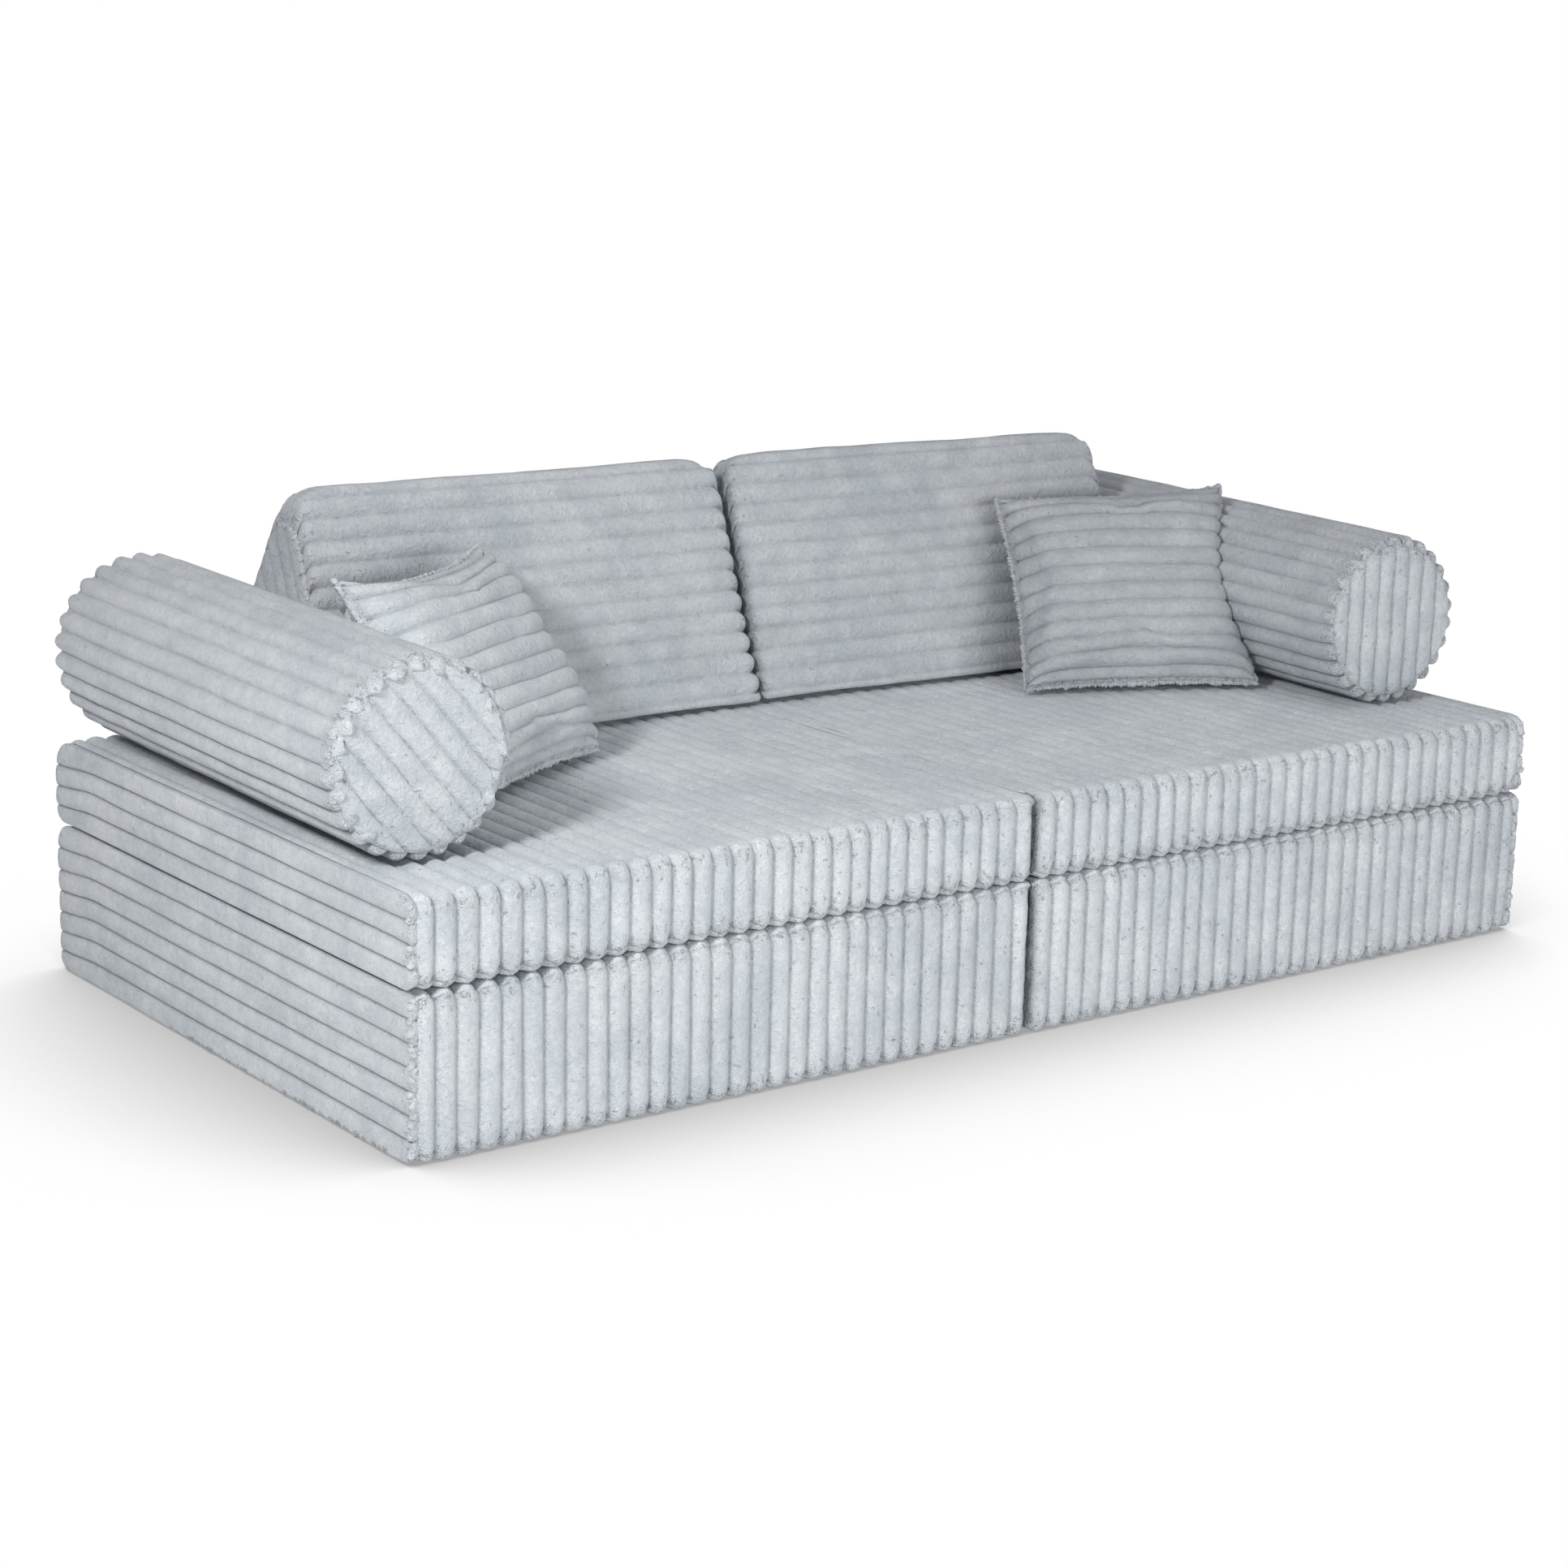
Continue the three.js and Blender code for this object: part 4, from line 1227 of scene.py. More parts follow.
def wedge_module(name):
    seed = WEDGES[name]["seed"]
    neighbour = WEDGES[name]["neighbour"]
    end_loop = wedge_loop(WEDGE_END_INSET, WEDGE_END_FOOT, WEDGE_END_TOP_RADIUS)
    sheets = {"wrap": wedge_wrap(end_loop, neighbour, seed)}
    along = (math.sin(WEDGE_FRONT_LEAN), math.cos(WEDGE_FRONT_LEAN))
    span = end_loop[0] @ np.array([-along[1], along[0]])
    panel_ribs = round((span.max() - span.min()) / RIB_PITCH)
    for side, label in ((-1, "left"), (1, "right")):
        outline = end_loop[0] - end_loop[1] * (WEDGE_JOINT_SINK if side == neighbour else WEDGE_PANEL_SINK)
        panel = ribbed_panel(
            outline, along, panel_ribs, WEDGE_PANEL_BULGE, columns=24,
            seed=seed + 30 + side, line=0.2, fullness=0.5, rolled=0.3,
        )
        # The panel in the gap is painted dark all over: painted shade.
        if side == neighbour:
            panel.marks["groove"] = np.maximum(panel.marks["groove"], INNER_SHADE)
            panel.marks["nap_and_light"] *= WEDGE_GAP_PAINTED_SHADE
        sheets["panel_" + label] = on_end(panel, side * WEDGE_WIDTH / 2, side)
    sheets["seam_knots"] = seam_knots(
        end_loop, neighbour * (WEDGE_KNOT_IN - WEDGE_WIDTH / 2), -neighbour, WEDGE_KNOT, KNOT_SPACING,
        seed + 50, WEDGE_KNOT_INSET, facing=(-0.8, 0.6), least=0.3,
    )
    make_cover(name, sheets, wedge_place(name), WEDGE_PAINTED_SHADE)


for wedge_name in WEDGES:
    wedge_module(wedge_name)


# Where the zips lie

ZIP_BED = 4.2 * MM
ZIP_BED_HALF = 8 * MM
ZIP_BED_REACH = 30 * MM


def mesh_points(mesh):
    points = np.zeros(len(mesh.vertices) * 3)
    mesh.vertices.foreach_get("co", points)
    return points.reshape(-1, 3)


def node_points(node):
    return mesh_points(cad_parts[node].data)


def zip_frame(module):
    """The zip's own axes at its middle, along it, out of the cover and across it, and the zip's length."""
    points = node_points(module + "_zip")
    middle = (points.min(0) + points.max(0)) / 2
    low, high = (np.array(corner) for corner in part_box(module + "_cover"))
    _, _, axes = np.linalg.svd(points - points.mean(0))
    along = axes[0]
    slider = node_points(module + "_zip_slider").mean(0)
    if (slider - middle) @ along > 0:
        along = -along
    out = axes[2]
    if (middle - (low + high) / 2) @ out < 0:
        out = -out
    across = np.cross(along, out)
    outward = points @ out
    sideways = points @ across
    lengthways = points @ along
    middle = middle + out * (outward.max() - middle @ out)
    middle = middle + across * ((sideways.min() + sideways.max()) / 2 - middle @ across)
    middle = middle + along * ((lengthways.min() + lengthways.max()) / 2 - middle @ along)
    place = np.eye(4)
    place[:3] = np.stack([along, out, across, middle], -1)
    return place, lengthways.max() - lengthways.min()


def taken_back(points, place):
    """Points where they stand, taken to the axes of a place that turns but doesn't stretch."""
    return (points - place[:3, 3]) @ place[:3, :3]


def bedded(points, module):
    """Sinks a cover under its zip, so that the tape and the slider have room along their whole run."""
    place, length = zip_frame(module)
    local = taken_back(points, place)
    past_end = np.maximum(np.abs(local[:, 0]) - length / 2 - ZIP_BED, 0)
    past_side = np.maximum(np.abs(local[:, 2]) - ZIP_BED_HALF, 0)
    near = np.abs(local[:, 1]) < ZIP_BED_REACH
    local[:, 1] = np.where(near, np.minimum(local[:, 1], past_end + past_side - ZIP_BED), local[:, 1])
    return carried(local, place)


# Throw pillows

PILLOW_HALF_WIDTH = 335 * MM / 2
PILLOW_HALF_HEIGHT = 300 * MM / 2
PILLOW_HALF_THICKNESS = 112 * MM / 2
PILLOW_EDGE = 7 * MM
# The pile value of each pillow paints its whole case lighter on the left one and darker on the right one:
# painted light and painted shade.
PILLOWS = {
    "pillow_left": {
        "place": (-0.51433, -0.01755), "turn": 30, "lean": 35.5, "bolster": "bolster_left",
        "draw_top": 20 * MM, "draw_foot": 6 * MM, "draw_side": 2 * MM, "ears": (0 * MM, -6 * MM),
        "nap_and_light": 1.025, "seed": 900,
    },
    "pillow_right": {
        "place": (0.52467, 0.00545), "turn": -23.7, "lean": 37.4, "bolster": "bolster_right",
        "draw_top": 2 * MM, "draw_foot": 4 * MM, "draw_side": 8 * MM, "ears": (-8 * MM, 16 * MM),
        "nap_and_light": 0.785, "seed": 1000,
    },
}

# The pillow as it is stuffed
PILLOW_ROWS = 40
PILLOW_COLUMNS = 44
PILLOW_SWELL = 0.9
PILLOW_UNEVEN = 2 * MM
PILLOW_UNEVEN_LUMPS = (7, 12)
PILLOW_PRESSURE = 4
PILLOW_FRAMES = 20
PILLOW_CAP = 9 * MM
PROFILE_STEPS = 2001
INSERT_SHARES = (0.84, 0.7, 0.84)
INSERT_CLEARANCE = 12 * MM
CASE_CLEARANCE = 1 * MM

# The ribbed case over it
PILLOW_RIBS = 13
CASE_COLUMNS = 84
CASE_FULLNESS = 0.35
CASE_SIDE_FULLER = 0.6
CASE_SIDE_START = 0.7
CASE_SIDE_RUN = 0.25
CASE_TIP_START = 0.93
CASE_FLAT_EDGE = 0.02
CASE_FLAT_EDGE_RIBS = 0.25
CASE_LUMP = 0.8 * MM
CASE_LUMPS_ROUND = 16
CASE_DEPTH = 8 * MM
CASE_EDGE_DEPTH = 3 * MM
CASE_TIP = 3 * MM
CASE_WAVE = 2.4 * MM
CASE_WAVES = (5, 14)
CASE_STREAKS_ROUND = 14
CASE_EAR_BEND = 1.5
CASE_LINE = 0.15
CASE_FRAY_EDGE = 0.06
CASE_FRAY_EDGE_RIBS = 0.5
FRINGE_TUFT = 3.4 * MM
FRINGE_SPACING = 4.5 * MM
FRINGE_NAP = 1.04
FRINGE_STRETCH = 0.6


def pillow_surface(u, v, side, facts):
    """A point of the stuffed pillow: u across and v up run from -1 to 1, side is -1 in front."""
    fullness = np.sqrt(np.clip((1 - u ** 4) * (1 - v ** 4), 0, 1))
    x = u * (PILLOW_HALF_WIDTH - facts["draw_side"] * (1 - v * v))
    draw = facts["draw_foot"] + (facts["draw_top"] - facts["draw_foot"]) * eased((v + 1) / 2)
    z = v * (PILLOW_HALF_HEIGHT - draw * (1 - u * u))
    y = side * (PILLOW_EDGE / 2 + (PILLOW_HALF_THICKNESS - PILLOW_EDGE / 2) * fullness)
    return np.stack([x, y, z], -1)


def evened(profile, count):
    """Shares from -1 to 1 that cut a profile of the pillow into equal lengths."""
    fine = np.sin(np.linspace(-1, 1, PROFILE_STEPS) * math.pi / 2)
    lengths = np.linalg.norm(np.diff(profile(fine), axis=0), axis=1)
    along = np.concatenate([[0], np.cumsum(lengths)])
    return np.interp(np.linspace(0, along[-1], count), along, fine)


def pillow_rings(facts):
    """Rings round the pillow from its foot up: along the front from left to right, and back behind."""
    middle = np.zeros(PROFILE_STEPS)
    v = evened(lambda shares: pillow_surface(middle, shares, -1, facts), PILLOW_ROWS)
    u = evened(lambda shares: pillow_surface(shares, middle, -1, facts), PILLOW_COLUMNS)
    grid_v, grid_u = np.meshgrid(v, u, indexing="ij")
    front = pillow_surface(grid_u, grid_v, -1, facts)
    back = pillow_surface(grid_u, grid_v, 1, facts)[:, ::-1]
    rings = np.concatenate([front, back], 1)
    rings[..., 1] *= PILLOW_SWELL
    return rings


def pillow_faces(rows, half):
    """The rings' quads, and the strips that close the first and last ring."""
    columns = 2 * half
    j = np.arange(half - 1)
    mate = columns - 1 - j
    first = np.stack([j, mate, mate - 1, j + 1], -1)
    last = first[:, ::-1] + (rows - 1) * columns
    return [grid_faces(rows, columns, True), first, last]


def stuffed(rings, seed):
    """Blows the pillow up as cloth, so that its faces crown and its edges pucker."""
    rows, columns, _ = rings.shape
    uneven = drift(rows, columns, PILLOW_UNEVEN_LUMPS, seed, True)[..., None] * PILLOW_UNEVEN
    start = rings + uneven * np.sign(rings) * np.array([0, 1, 0])
    blank = make_piece("pillow_blank", Sheet(start, pillow_faces(rows, columns // 2)), None, "plush")
    cloth = blank.modifiers.new("cloth", "CLOTH")
    settings = cloth.settings
    settings.quality = 6
    settings.mass = 0.3
    settings.tension_stiffness = 12
    settings.compression_stiffness = 12
    settings.shear_stiffness = 6
    settings.bending_stiffness = 0.6
    settings.use_pressure = True
    settings.uniform_pressure_force = PILLOW_PRESSURE
    settings.effector_weights.gravity = 0
    cloth.collision_settings.use_collision = False
    scene = bpy.context.scene
    for number in range(1, PILLOW_FRAMES + 1):
        scene.frame_set(number)
    graph = bpy.context.evaluated_depsgraph_get()
    swollen = mesh_points(blank.evaluated_get(graph).to_mesh())
    scene.frame_set(1)
    moved = swollen.reshape(rings.shape) - start
    far = np.linalg.norm(moved, axis=-1, keepdims=True)
    moved = moved * np.minimum(1, PILLOW_CAP / np.maximum(far, 1e-9))
    mesh = blank.data
    bpy.data.objects.remove(blank)
    bpy.data.meshes.remove(mesh)
    return start + moved


def read_smoothly(values, shares):
    """Rows of values on a smooth curve through them, read at shares of the way from first to last."""
    known = np.linspace(0, 1, len(values))
    flat = values.reshape(len(values), -1)
    slope = np.gradient(flat, known, axis=0)
    low = np.clip(np.searchsorted(known, shares, side="right") - 1, 0, len(known) - 2)
    width = known[1] - known[0]
    t = ((shares - known[low]) / width)[:, None]
    a = (2 * t ** 3 - 3 * t ** 2 + 1) * flat[low]
    b = (t ** 3 - 2 * t ** 2 + t) * width * slope[low]
    c = (3 * t ** 2 - 2 * t ** 3) * flat[low + 1]
    d = (t ** 3 - t ** 2) * width * slope[low + 1]
    return (a + b + c + d).reshape(len(shares), *values.shape[1:])


def drawn_out(rings, up, across):
    """The rings with more points, at these shares of the way up and across, front and back apart."""
    half = rings.shape[1] // 2
    sides = []
    for part in (rings[:, :half], rings[:, half:]):
        rows = read_smoothly(part, up)
        sides.append(read_smoothly(rows.swapaxes(0, 1), across).swapaxes(0, 1))
    return np.concatenate(sides, 1)


def ring_normals(rings):
    """Outward directions over a grid of rings."""
    around = np.roll(rings, -1, 1) - np.roll(rings, 1, 1)
    out = np.cross(around, np.gradient(rings, axis=0))
    return out / np.maximum(np.linalg.norm(out, axis=2), 1e-9)[..., None]


def pillow_place(name):
    facts = PILLOWS[name]
    turn = Matrix.Rotation(math.radians(facts["turn"]), 4, "Z")
    lean = Matrix.Rotation(-math.radians(facts["lean"]), 4, "X")
    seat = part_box(name + "_cover")[0].z
    feet = [Vector((x, 0, -PILLOW_HALF_HEIGHT)) for x in (-PILLOW_HALF_WIDTH, PILLOW_HALF_WIDTH)]
    lowest = min((turn @ lean @ foot).z for foot in feet)
    lowest = lowest - PILLOW_EDGE / 2 * math.sin(math.radians(facts["lean"]))
    x, y = facts["place"]
    return Matrix.Translation((x, y, seat - lowest)) @ turn @ lean


def pressed(points, bolster, clearance):
    """Keeps points clear of the bolster that the pillow leans on, and above the seat."""
    place = bolster_place(bolster)
    radius = bolster_radius(bolster) + clearance
    local = carried(points, place.inverted())
    away = np.hypot(local[:, 1], local[:, 2])
    local[:, 1:] *= np.where(away < radius, radius / np.maximum(away, 1e-6), 1.0)[:, None]
    points = carried(local, place)
    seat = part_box(bolster + "_cover")[0].z
    points[:, 2] = np.maximum(points[:, 2], seat + clearance - CASE_CLEARANCE)
    return points


def pillow_case(name, rings, place):
    """The ribbed case of a pillow, pressed against its bolster."""
    facts = PILLOWS[name]
    seed = facts["seed"]
    stops = rib_stops(PILLOW_RIBS)
    across = np.linspace(0, 1, CASE_COLUMNS)
    rings = drawn_out(rings, stops / PILLOW_RIBS, across)
    rows, columns, _ = rings.shape
    u = np.concatenate([across, across[::-1]])[None, :] * 2 - 1
    v = (stops / PILLOW_RIBS * 2 - 1)[:, None]
    at_side = eased((np.abs(u) - CASE_SIDE_START) / CASE_SIDE_RUN)
    tip = np.clip((np.abs(u) - CASE_TIP_START) / (1 - CASE_TIP_START), 0, 1)
    edge_rows = np.minimum(stops, PILLOW_RIBS - stops)[:, None]
    rise = rib_rise(stops[:, None], CASE_FULLNESS + CASE_SIDE_FULLER * at_side)
    lumps = (drift(rows, columns, (PILLOW_RIBS, CASE_LUMPS_ROUND), seed + 1, True) + 1) * CASE_LUMP
    inset = (CASE_DEPTH + CASE_EDGE_DEPTH * at_side) * (1 - rise) + lumps * rise
    inset = inset + CASE_TIP * (1 - np.sqrt(1 - tip ** 2))
    inset = inset * eased(edge_rows / CASE_FLAT_EDGE_RIBS) * np.clip((1 - np.abs(u)) / CASE_FLAT_EDGE, 0, 1)
    points = rings - ring_normals(rings) * inset[..., None]
    ears = np.where(u < 0, *facts["ears"]) * np.abs(u) ** CASE_EAR_BEND * np.clip(v, 0, 1) ** CASE_EAR_BEND
    wave = drift(rows, columns, CASE_WAVES, seed + 7, True) * CASE_WAVE
    points[..., 2] += ears + wave * (1 - v ** 2)
    points = pressed(carried(points.reshape(-1, 3), place), facts["bolster"], CASE_CLEARANCE)
    to_edge = np.minimum((1 - np.abs(u)) / CASE_FRAY_EDGE, edge_rows / CASE_FRAY_EDGE_RIBS)
    # Painted shade in the grooves.
    groove = np.broadcast_to(in_groove(rise) * CASE_LINE, inset.shape)
    nap_and_light = 1 + nap_streaks(rows, columns, PILLOW_RIBS, CASE_STREAKS_ROUND, seed + 3)
    return Sheet(bedded(points, name), pillow_faces(rows, columns // 2), groove, fading(to_edge, 1), nap_and_light)


def edge_fringe(case, rows, seed):
    """Tufts of pile along the seam round a pillow's case."""
    rings = case.points.reshape(rows, -1, 3)
    half = rings.shape[1] // 2
    left = (rings[:, 0] + rings[:, -1]) / 2
    right = (rings[:, half - 1] + rings[:, half]) / 2
    bottom = (rings[0, :half] + rings[0, half:][::-1]) / 2
    top = (rings[-1, :half] + rings[-1, half:][::-1]) / 2
    seam = np.concatenate([bottom[:-1], right[:-1], top[:0:-1], left[:0:-1]])
    along = places_along(seam)
    places = read_at(np.arange(0, along[-1], FRINGE_SPACING), along, seam)
    outwards = places - case.points.mean(0)
    outwards /= np.linalg.norm(outwards, axis=1)[:, None]
    return knots(places, outwards, FRINGE_TUFT, seed, FRINGE_STRETCH)


def pillow_module(name):
    facts = PILLOWS[name]
    place = pillow_place(name)
    rings = pillow_rings(facts)
    rings = stuffed(rings, facts["seed"])
    insert = carried((rings * np.array(INSERT_SHARES)).reshape(-1, 3), place)
    insert = pressed(insert, facts["bolster"], INSERT_CLEARANCE)
    core = Sheet(insert, pillow_faces(PILLOW_ROWS, PILLOW_COLUMNS))
    make_stand_in(name + "_insert_core", core, name, "fibre", name + "_insert")
    case = pillow_case(name, rings, place)
    make_stand_in(name + "_case", case, name, "plush", name + "_cover", facts["nap_and_light"])
    fringe = edge_fringe(case, len(rib_stops(PILLOW_RIBS)), facts["seed"] + 5)
    make_piece(name + "_edge_fringe", fringe, name, "plush", facts["nap_and_light"] * FRINGE_NAP)


for pillow_name in PILLOWS:
    pillow_module(pillow_name)


# Foam blocks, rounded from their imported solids

FOAM_CELL = 9 * MM
FOAM_RIPPLE = 0.6 * MM
FOAM_RIPPLES_PER_METRE = 40
FOAM_SEED = 1100
FOAM_MODULES = [
    "base_left", "base_right", "seat_left", "seat_right",
    "bolster_left", "bolster_right", "back_left", "back_right",
]


def foam_core(module, seed):
    """A foam block or cylinder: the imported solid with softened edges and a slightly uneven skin."""
    node = module + "_foam"
    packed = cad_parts[node].data.copy()
    piece = bpy.data.objects.new(node + "_core", packed)
    bpy.context.scene.collection.objects.link(piece)
    cells = piece.modifiers.new("cells", "REMESH")
    cells.mode = "VOXEL"
    cells.voxel_size = FOAM_CELL
    soft = piece.modifiers.new("soft", "SMOOTH")
    soft.factor = 0.5
    soft.iterations = 6
    graph = bpy.context.evaluated_depsgraph_get()
    made = bpy.data.meshes.new_from_object(piece.evaluated_get(graph))
    piece.modifiers.clear()
    piece.data = made
    bpy.data.meshes.remove(packed)
    points = mesh_points(made)
    chance = np.random.default_rng(seed)
    waves = chance.normal(size=(4, 3)) * FOAM_RIPPLES_PER_METRE
    phases = chance.uniform(0, 2 * math.pi, 4)
    ripple = np.sin(points @ waves.T + phases).mean(1)[:, None]
    inward = points.mean(0) - points
    inward /= np.maximum(np.linalg.norm(inward, axis=1), 1e-9)[:, None]
    points = points + inward * (ripple + 1) * FOAM_RIPPLE
    made.vertices.foreach_set("co", points.ravel())
    made.polygons.foreach_set("use_smooth", np.ones(len(made.polygons), bool))
    made.materials.clear()
    made.materials.append(FINISHES["foam"])
    made.update()
    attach(piece, module)
    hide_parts(node)


for number, foam_module in enumerate(FOAM_MODULES):
    foam_core(foam_module, FOAM_SEED + number)


# Zips

TOOTH_PITCH = 2.6 * MM
TOOTH_LENGTH = 1.5 * MM
TOOTH_WIDTH = 2.4 * MM
TAPE_WIDTH = 17.4 * MM
TAPE_THICKNESS = 1.0 * MM
TAPE_GAP = 0.25 * MM
TAPE_RAISED = 0.2 * MM
TAPE_RIPPLE = 0.08 * MM
TAPE_RIPPLES_PER_METRE = 900
TAPE_SECTION_SHARES = np.array([
    (-0.5, -0.5), (-0.5, 0.5), (-0.2, 0.55), (0.2, 0.55), (0.5, 0.5), (0.5, -0.5), (0, -0.5),
])
CHAIN_HEIGHT = 2.2 * MM
CHAIN_END = 4 * MM
STOP_LENGTH = 3 * MM
STOP_WIDTH = 6 * MM
STOP_IN = 2.5 * MM
TAPE_STEPS = 60
TOOTH_HEIGHT_SHARE = 0.9
TOOTH_WIDER = 1.2
TOOTH_APART_SHARE = 0.45


def rounded_bar(size, middle, ease=0.35, steps=2):
    """A small bar with rounded edges: its six sides as grids bulged over a softened box."""
    span = np.linspace(-1, 1, 2 * steps + 1)
    faces = []
    points = []
    index = {}

    def point(p):
        key = tuple(np.round(p, 6))
        if key not in index:
            index[key] = len(points)
            points.append(p)
        return index[key]

    for axis in range(3):
        for sign in (-1, 1):
            for i in range(len(span) - 1):
                for j in range(len(span) - 1):
                    corners = []
                    for a, b in ((i, j), (i + 1, j), (i + 1, j + 1), (i, j + 1)):
                        p = np.zeros(3)
                        p[axis] = sign
                        p[(axis + 1) % 3] = span[a]
                        p[(axis + 2) % 3] = span[b]
                        corners.append(point(p))
                    faces.append(corners if sign > 0 else corners[::-1])
    points = np.array(points)
    power = 2 + 4 * (1 - ease)
    scale = (np.abs(points) ** power).sum(1) ** (1 / power)
    rounded = points / scale[:, None]
    return Sheet(rounded * np.array(size) / 2 + np.array(middle), [np.array(faces)])


def repeated(sheet, offsets):
    """Copies of a sheet, one at each offset."""
    points = (sheet.points[None] + offsets[:, None, :]).reshape(-1, 3)
    return Sheet(points, [repeated_faces(each, len(offsets), len(sheet.points)) for each in sheet.faces])


def zip_chain(length):
    """Two halves of woven tape with a beaded edge, and the teeth that lock down their middle."""
    half_width = TAPE_WIDTH / 2 - TAPE_GAP
    stations = np.linspace(-length / 2, length / 2, TAPE_STEPS)[:, None]
    across, up = TAPE_SECTION_SHARES.T
    level = up * TAPE_THICKNESS - CHAIN_HEIGHT - TAPE_THICKNESS / 2 + TAPE_RAISED
    parts = []
    for side in (-1, 1):
        y = level[None, :] + np.sin(stations * TAPE_RIPPLES_PER_METRE + side) * TAPE_RIPPLE
        z = across * half_width + side * (TAPE_GAP + half_width / 2)
        parts.append(tube(stations, y, np.broadcast_to(z, y.shape), 0.0, 0.0))
    tooth = (TOOTH_LENGTH, CHAIN_HEIGHT * TOOTH_HEIGHT_SHARE, TOOTH_WIDTH * TOOTH_WIDER)
    count = int((length - 2 * CHAIN_END) / TOOTH_PITCH)
    x = (np.arange(count) - (count - 1) / 2) * TOOTH_PITCH
    for side in (-1, 1):
        offsets = np.stack([
            x + side * TOOTH_PITCH / 4,
            np.full(count, -CHAIN_HEIGHT / 2),
            np.full(count, side * TOOTH_WIDTH * TOOTH_APART_SHARE),
        ], -1)
        parts.append(repeated(rounded_bar(tooth, (0, 0, 0)), offsets))
    for end in (-1, 1):
        place = (end * (length / 2 - STOP_IN), -CHAIN_HEIGHT / 2, 0)
        parts.append(rounded_bar((STOP_LENGTH, CHAIN_HEIGHT, STOP_WIDTH), place))
    return joined(parts)


SLIDER_LENGTH = 15 * MM
SLIDER_WIDTH = 12 * MM
SLIDER_ROOF = 1.4 * MM
SLIDER_ROOF_LEVEL = 1.0 * MM
CHEEK_LENGTH_SHARE = 0.86
CHEEK_HEIGHT = 4.0 * MM
CHEEK_WIDTH = 2.4 * MM
CHEEK_DOWN = 0.6 * MM
CHEEK_IN = 1.6 * MM
BRIDGE_HALF = 4 * MM
BRIDGE_RISE = 1.6 * MM
BRIDGE_LEVEL = 1.5 * MM
BRIDGE_BAR = 0.7 * MM
BRIDGE_FLATTER = 1.3
TAB_LENGTH = 22 * MM
TAB_WIDTH = 5.4 * MM
TAB_THICKNESS = 1.4 * MM
TAB_HOLE = 1.4 * MM
TAB_START = 1 * MM
TAB_START_SHARE = 0.8
TAB_LEVEL = 2.4 * MM
TAB_EDGE = 0.3 * MM
TAB_EDGE_SHARE = 0.08


def slider_bridge():
    """The bent bar on a slider that holds its pull tab."""
    bend = np.linspace(0, math.pi, 9)
    line = np.stack([np.cos(bend) * BRIDGE_HALF, BRIDGE_LEVEL + np.sin(bend) * BRIDGE_RISE], -1)
    turns = np.linspace(0, 2 * math.pi, 8, endpoint=False)
    rings = []
    for k, place in enumerate(line):
        way = line[min(k + 1, len(line) - 1)] - line[max(k - 1, 0)]
        way = way / np.linalg.norm(way)
        normal = np.array([-way[1], way[0]])
        flat = place + normal * BRIDGE_BAR * np.cos(turns)[:, None]
        rings.append(np.column_stack([flat, BRIDGE_BAR * BRIDGE_FLATTER * np.sin(turns)]))
    return Sheet(np.array(rings), tube_faces(len(line), len(turns)))


def pull_tab():
    """A flat tab with rounded ends, thin rounded edges and a hole at its free end."""
    outer = []
    inner = []
    hole_x = SLIDER_LENGTH / 2 + TAB_LENGTH - TAB_WIDTH / 2
    for angle in np.linspace(0, 2 * math.pi, 28, endpoint=False):
        c = math.cos(angle)
        s = math.sin(angle)
        free_end = c > 0
        z = np.clip(s * 1.5, -1, 1) * TAB_WIDTH / 2 * (1.0 if free_end else TAB_START_SHARE)
        outer.append((hole_x + c * (TAB_WIDTH / 2 if free_end else hole_x - TAB_START), z))
        inner.append((hole_x + c * TAB_HOLE, s * TAB_HOLE))
    outer = np.array(outer)
    inner = np.array(inner)
    edge = outer + (inner - outer) * TAB_EDGE_SHARE
    top = TAB_LEVEL + TAB_THICKNESS
    loops = [
        (outer, TAB_LEVEL + TAB_EDGE), (outer, top - TAB_EDGE), (edge, top),
        (inner, top), (inner, TAB_LEVEL), (edge, TAB_LEVEL),
    ]
    points = np.array([np.column_stack([loop[:, 0], np.full(len(loop), y), loop[:, 1]]) for loop, y in loops])
    index = np.arange(points.shape[0] * points.shape[1]).reshape(points.shape[:2])
    after = np.roll(index, -1, 0)
    quads = np.stack([index, np.roll(index, -1, 1), np.roll(after, -1, 1), after], -1).reshape(-1, 4)
    return Sheet(points, [quads])


def zip_slider():
    """A cast body with a bridge, and a pull tab with a hole, lying along the chain."""
    parts = [rounded_bar((SLIDER_LENGTH, SLIDER_ROOF, SLIDER_WIDTH), (0, SLIDER_ROOF_LEVEL, 0), 0.5, 3)]
    cheek = (SLIDER_LENGTH * CHEEK_LENGTH_SHARE, CHEEK_HEIGHT, CHEEK_WIDTH)
    for side in (-1, 1):
        parts.append(rounded_bar(cheek, (0, -CHEEK_DOWN, side * (SLIDER_WIDTH / 2 - CHEEK_IN)), 0.4))
    return joined([*parts, slider_bridge(), pull_tab()])


SLIDER_SHEET = zip_slider()


def zip_module(module):
    """The chain and the slider of one module's zip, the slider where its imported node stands."""
    place, length = zip_frame(module)
    chain = zip_chain(length).placed(place)
    make_stand_in(module + "_zip_chain", chain, module, "zip_tape", module + "_zip")
    slider = module + "_zip_slider"
    start = taken_back(node_points(slider), place)[:, 0].min()
    place[:3, 3] += place[:3, 0] * (start + SLIDER_LENGTH / 2)
    make_stand_in(module + "_zip_runner", SLIDER_SHEET.placed(place), slider, "zinc", slider)


for zipped_module in [*FOAM_MODULES, *PILLOWS]:
    zip_module(zipped_module)


# Fabric hinge between the seat halves

HINGE_CLEARANCE = 0.3 * MM
HINGE_END = 6 * MM
HINGE_STEPS = 220
HINGE_ROUND_STEPS = 20
HINGE_UNEVEN = 0.08
HINGE_UNEVEN_LUMPS = (60, 8)
HINGE_SEED = 1301
HINGE_FRAY = 0.4


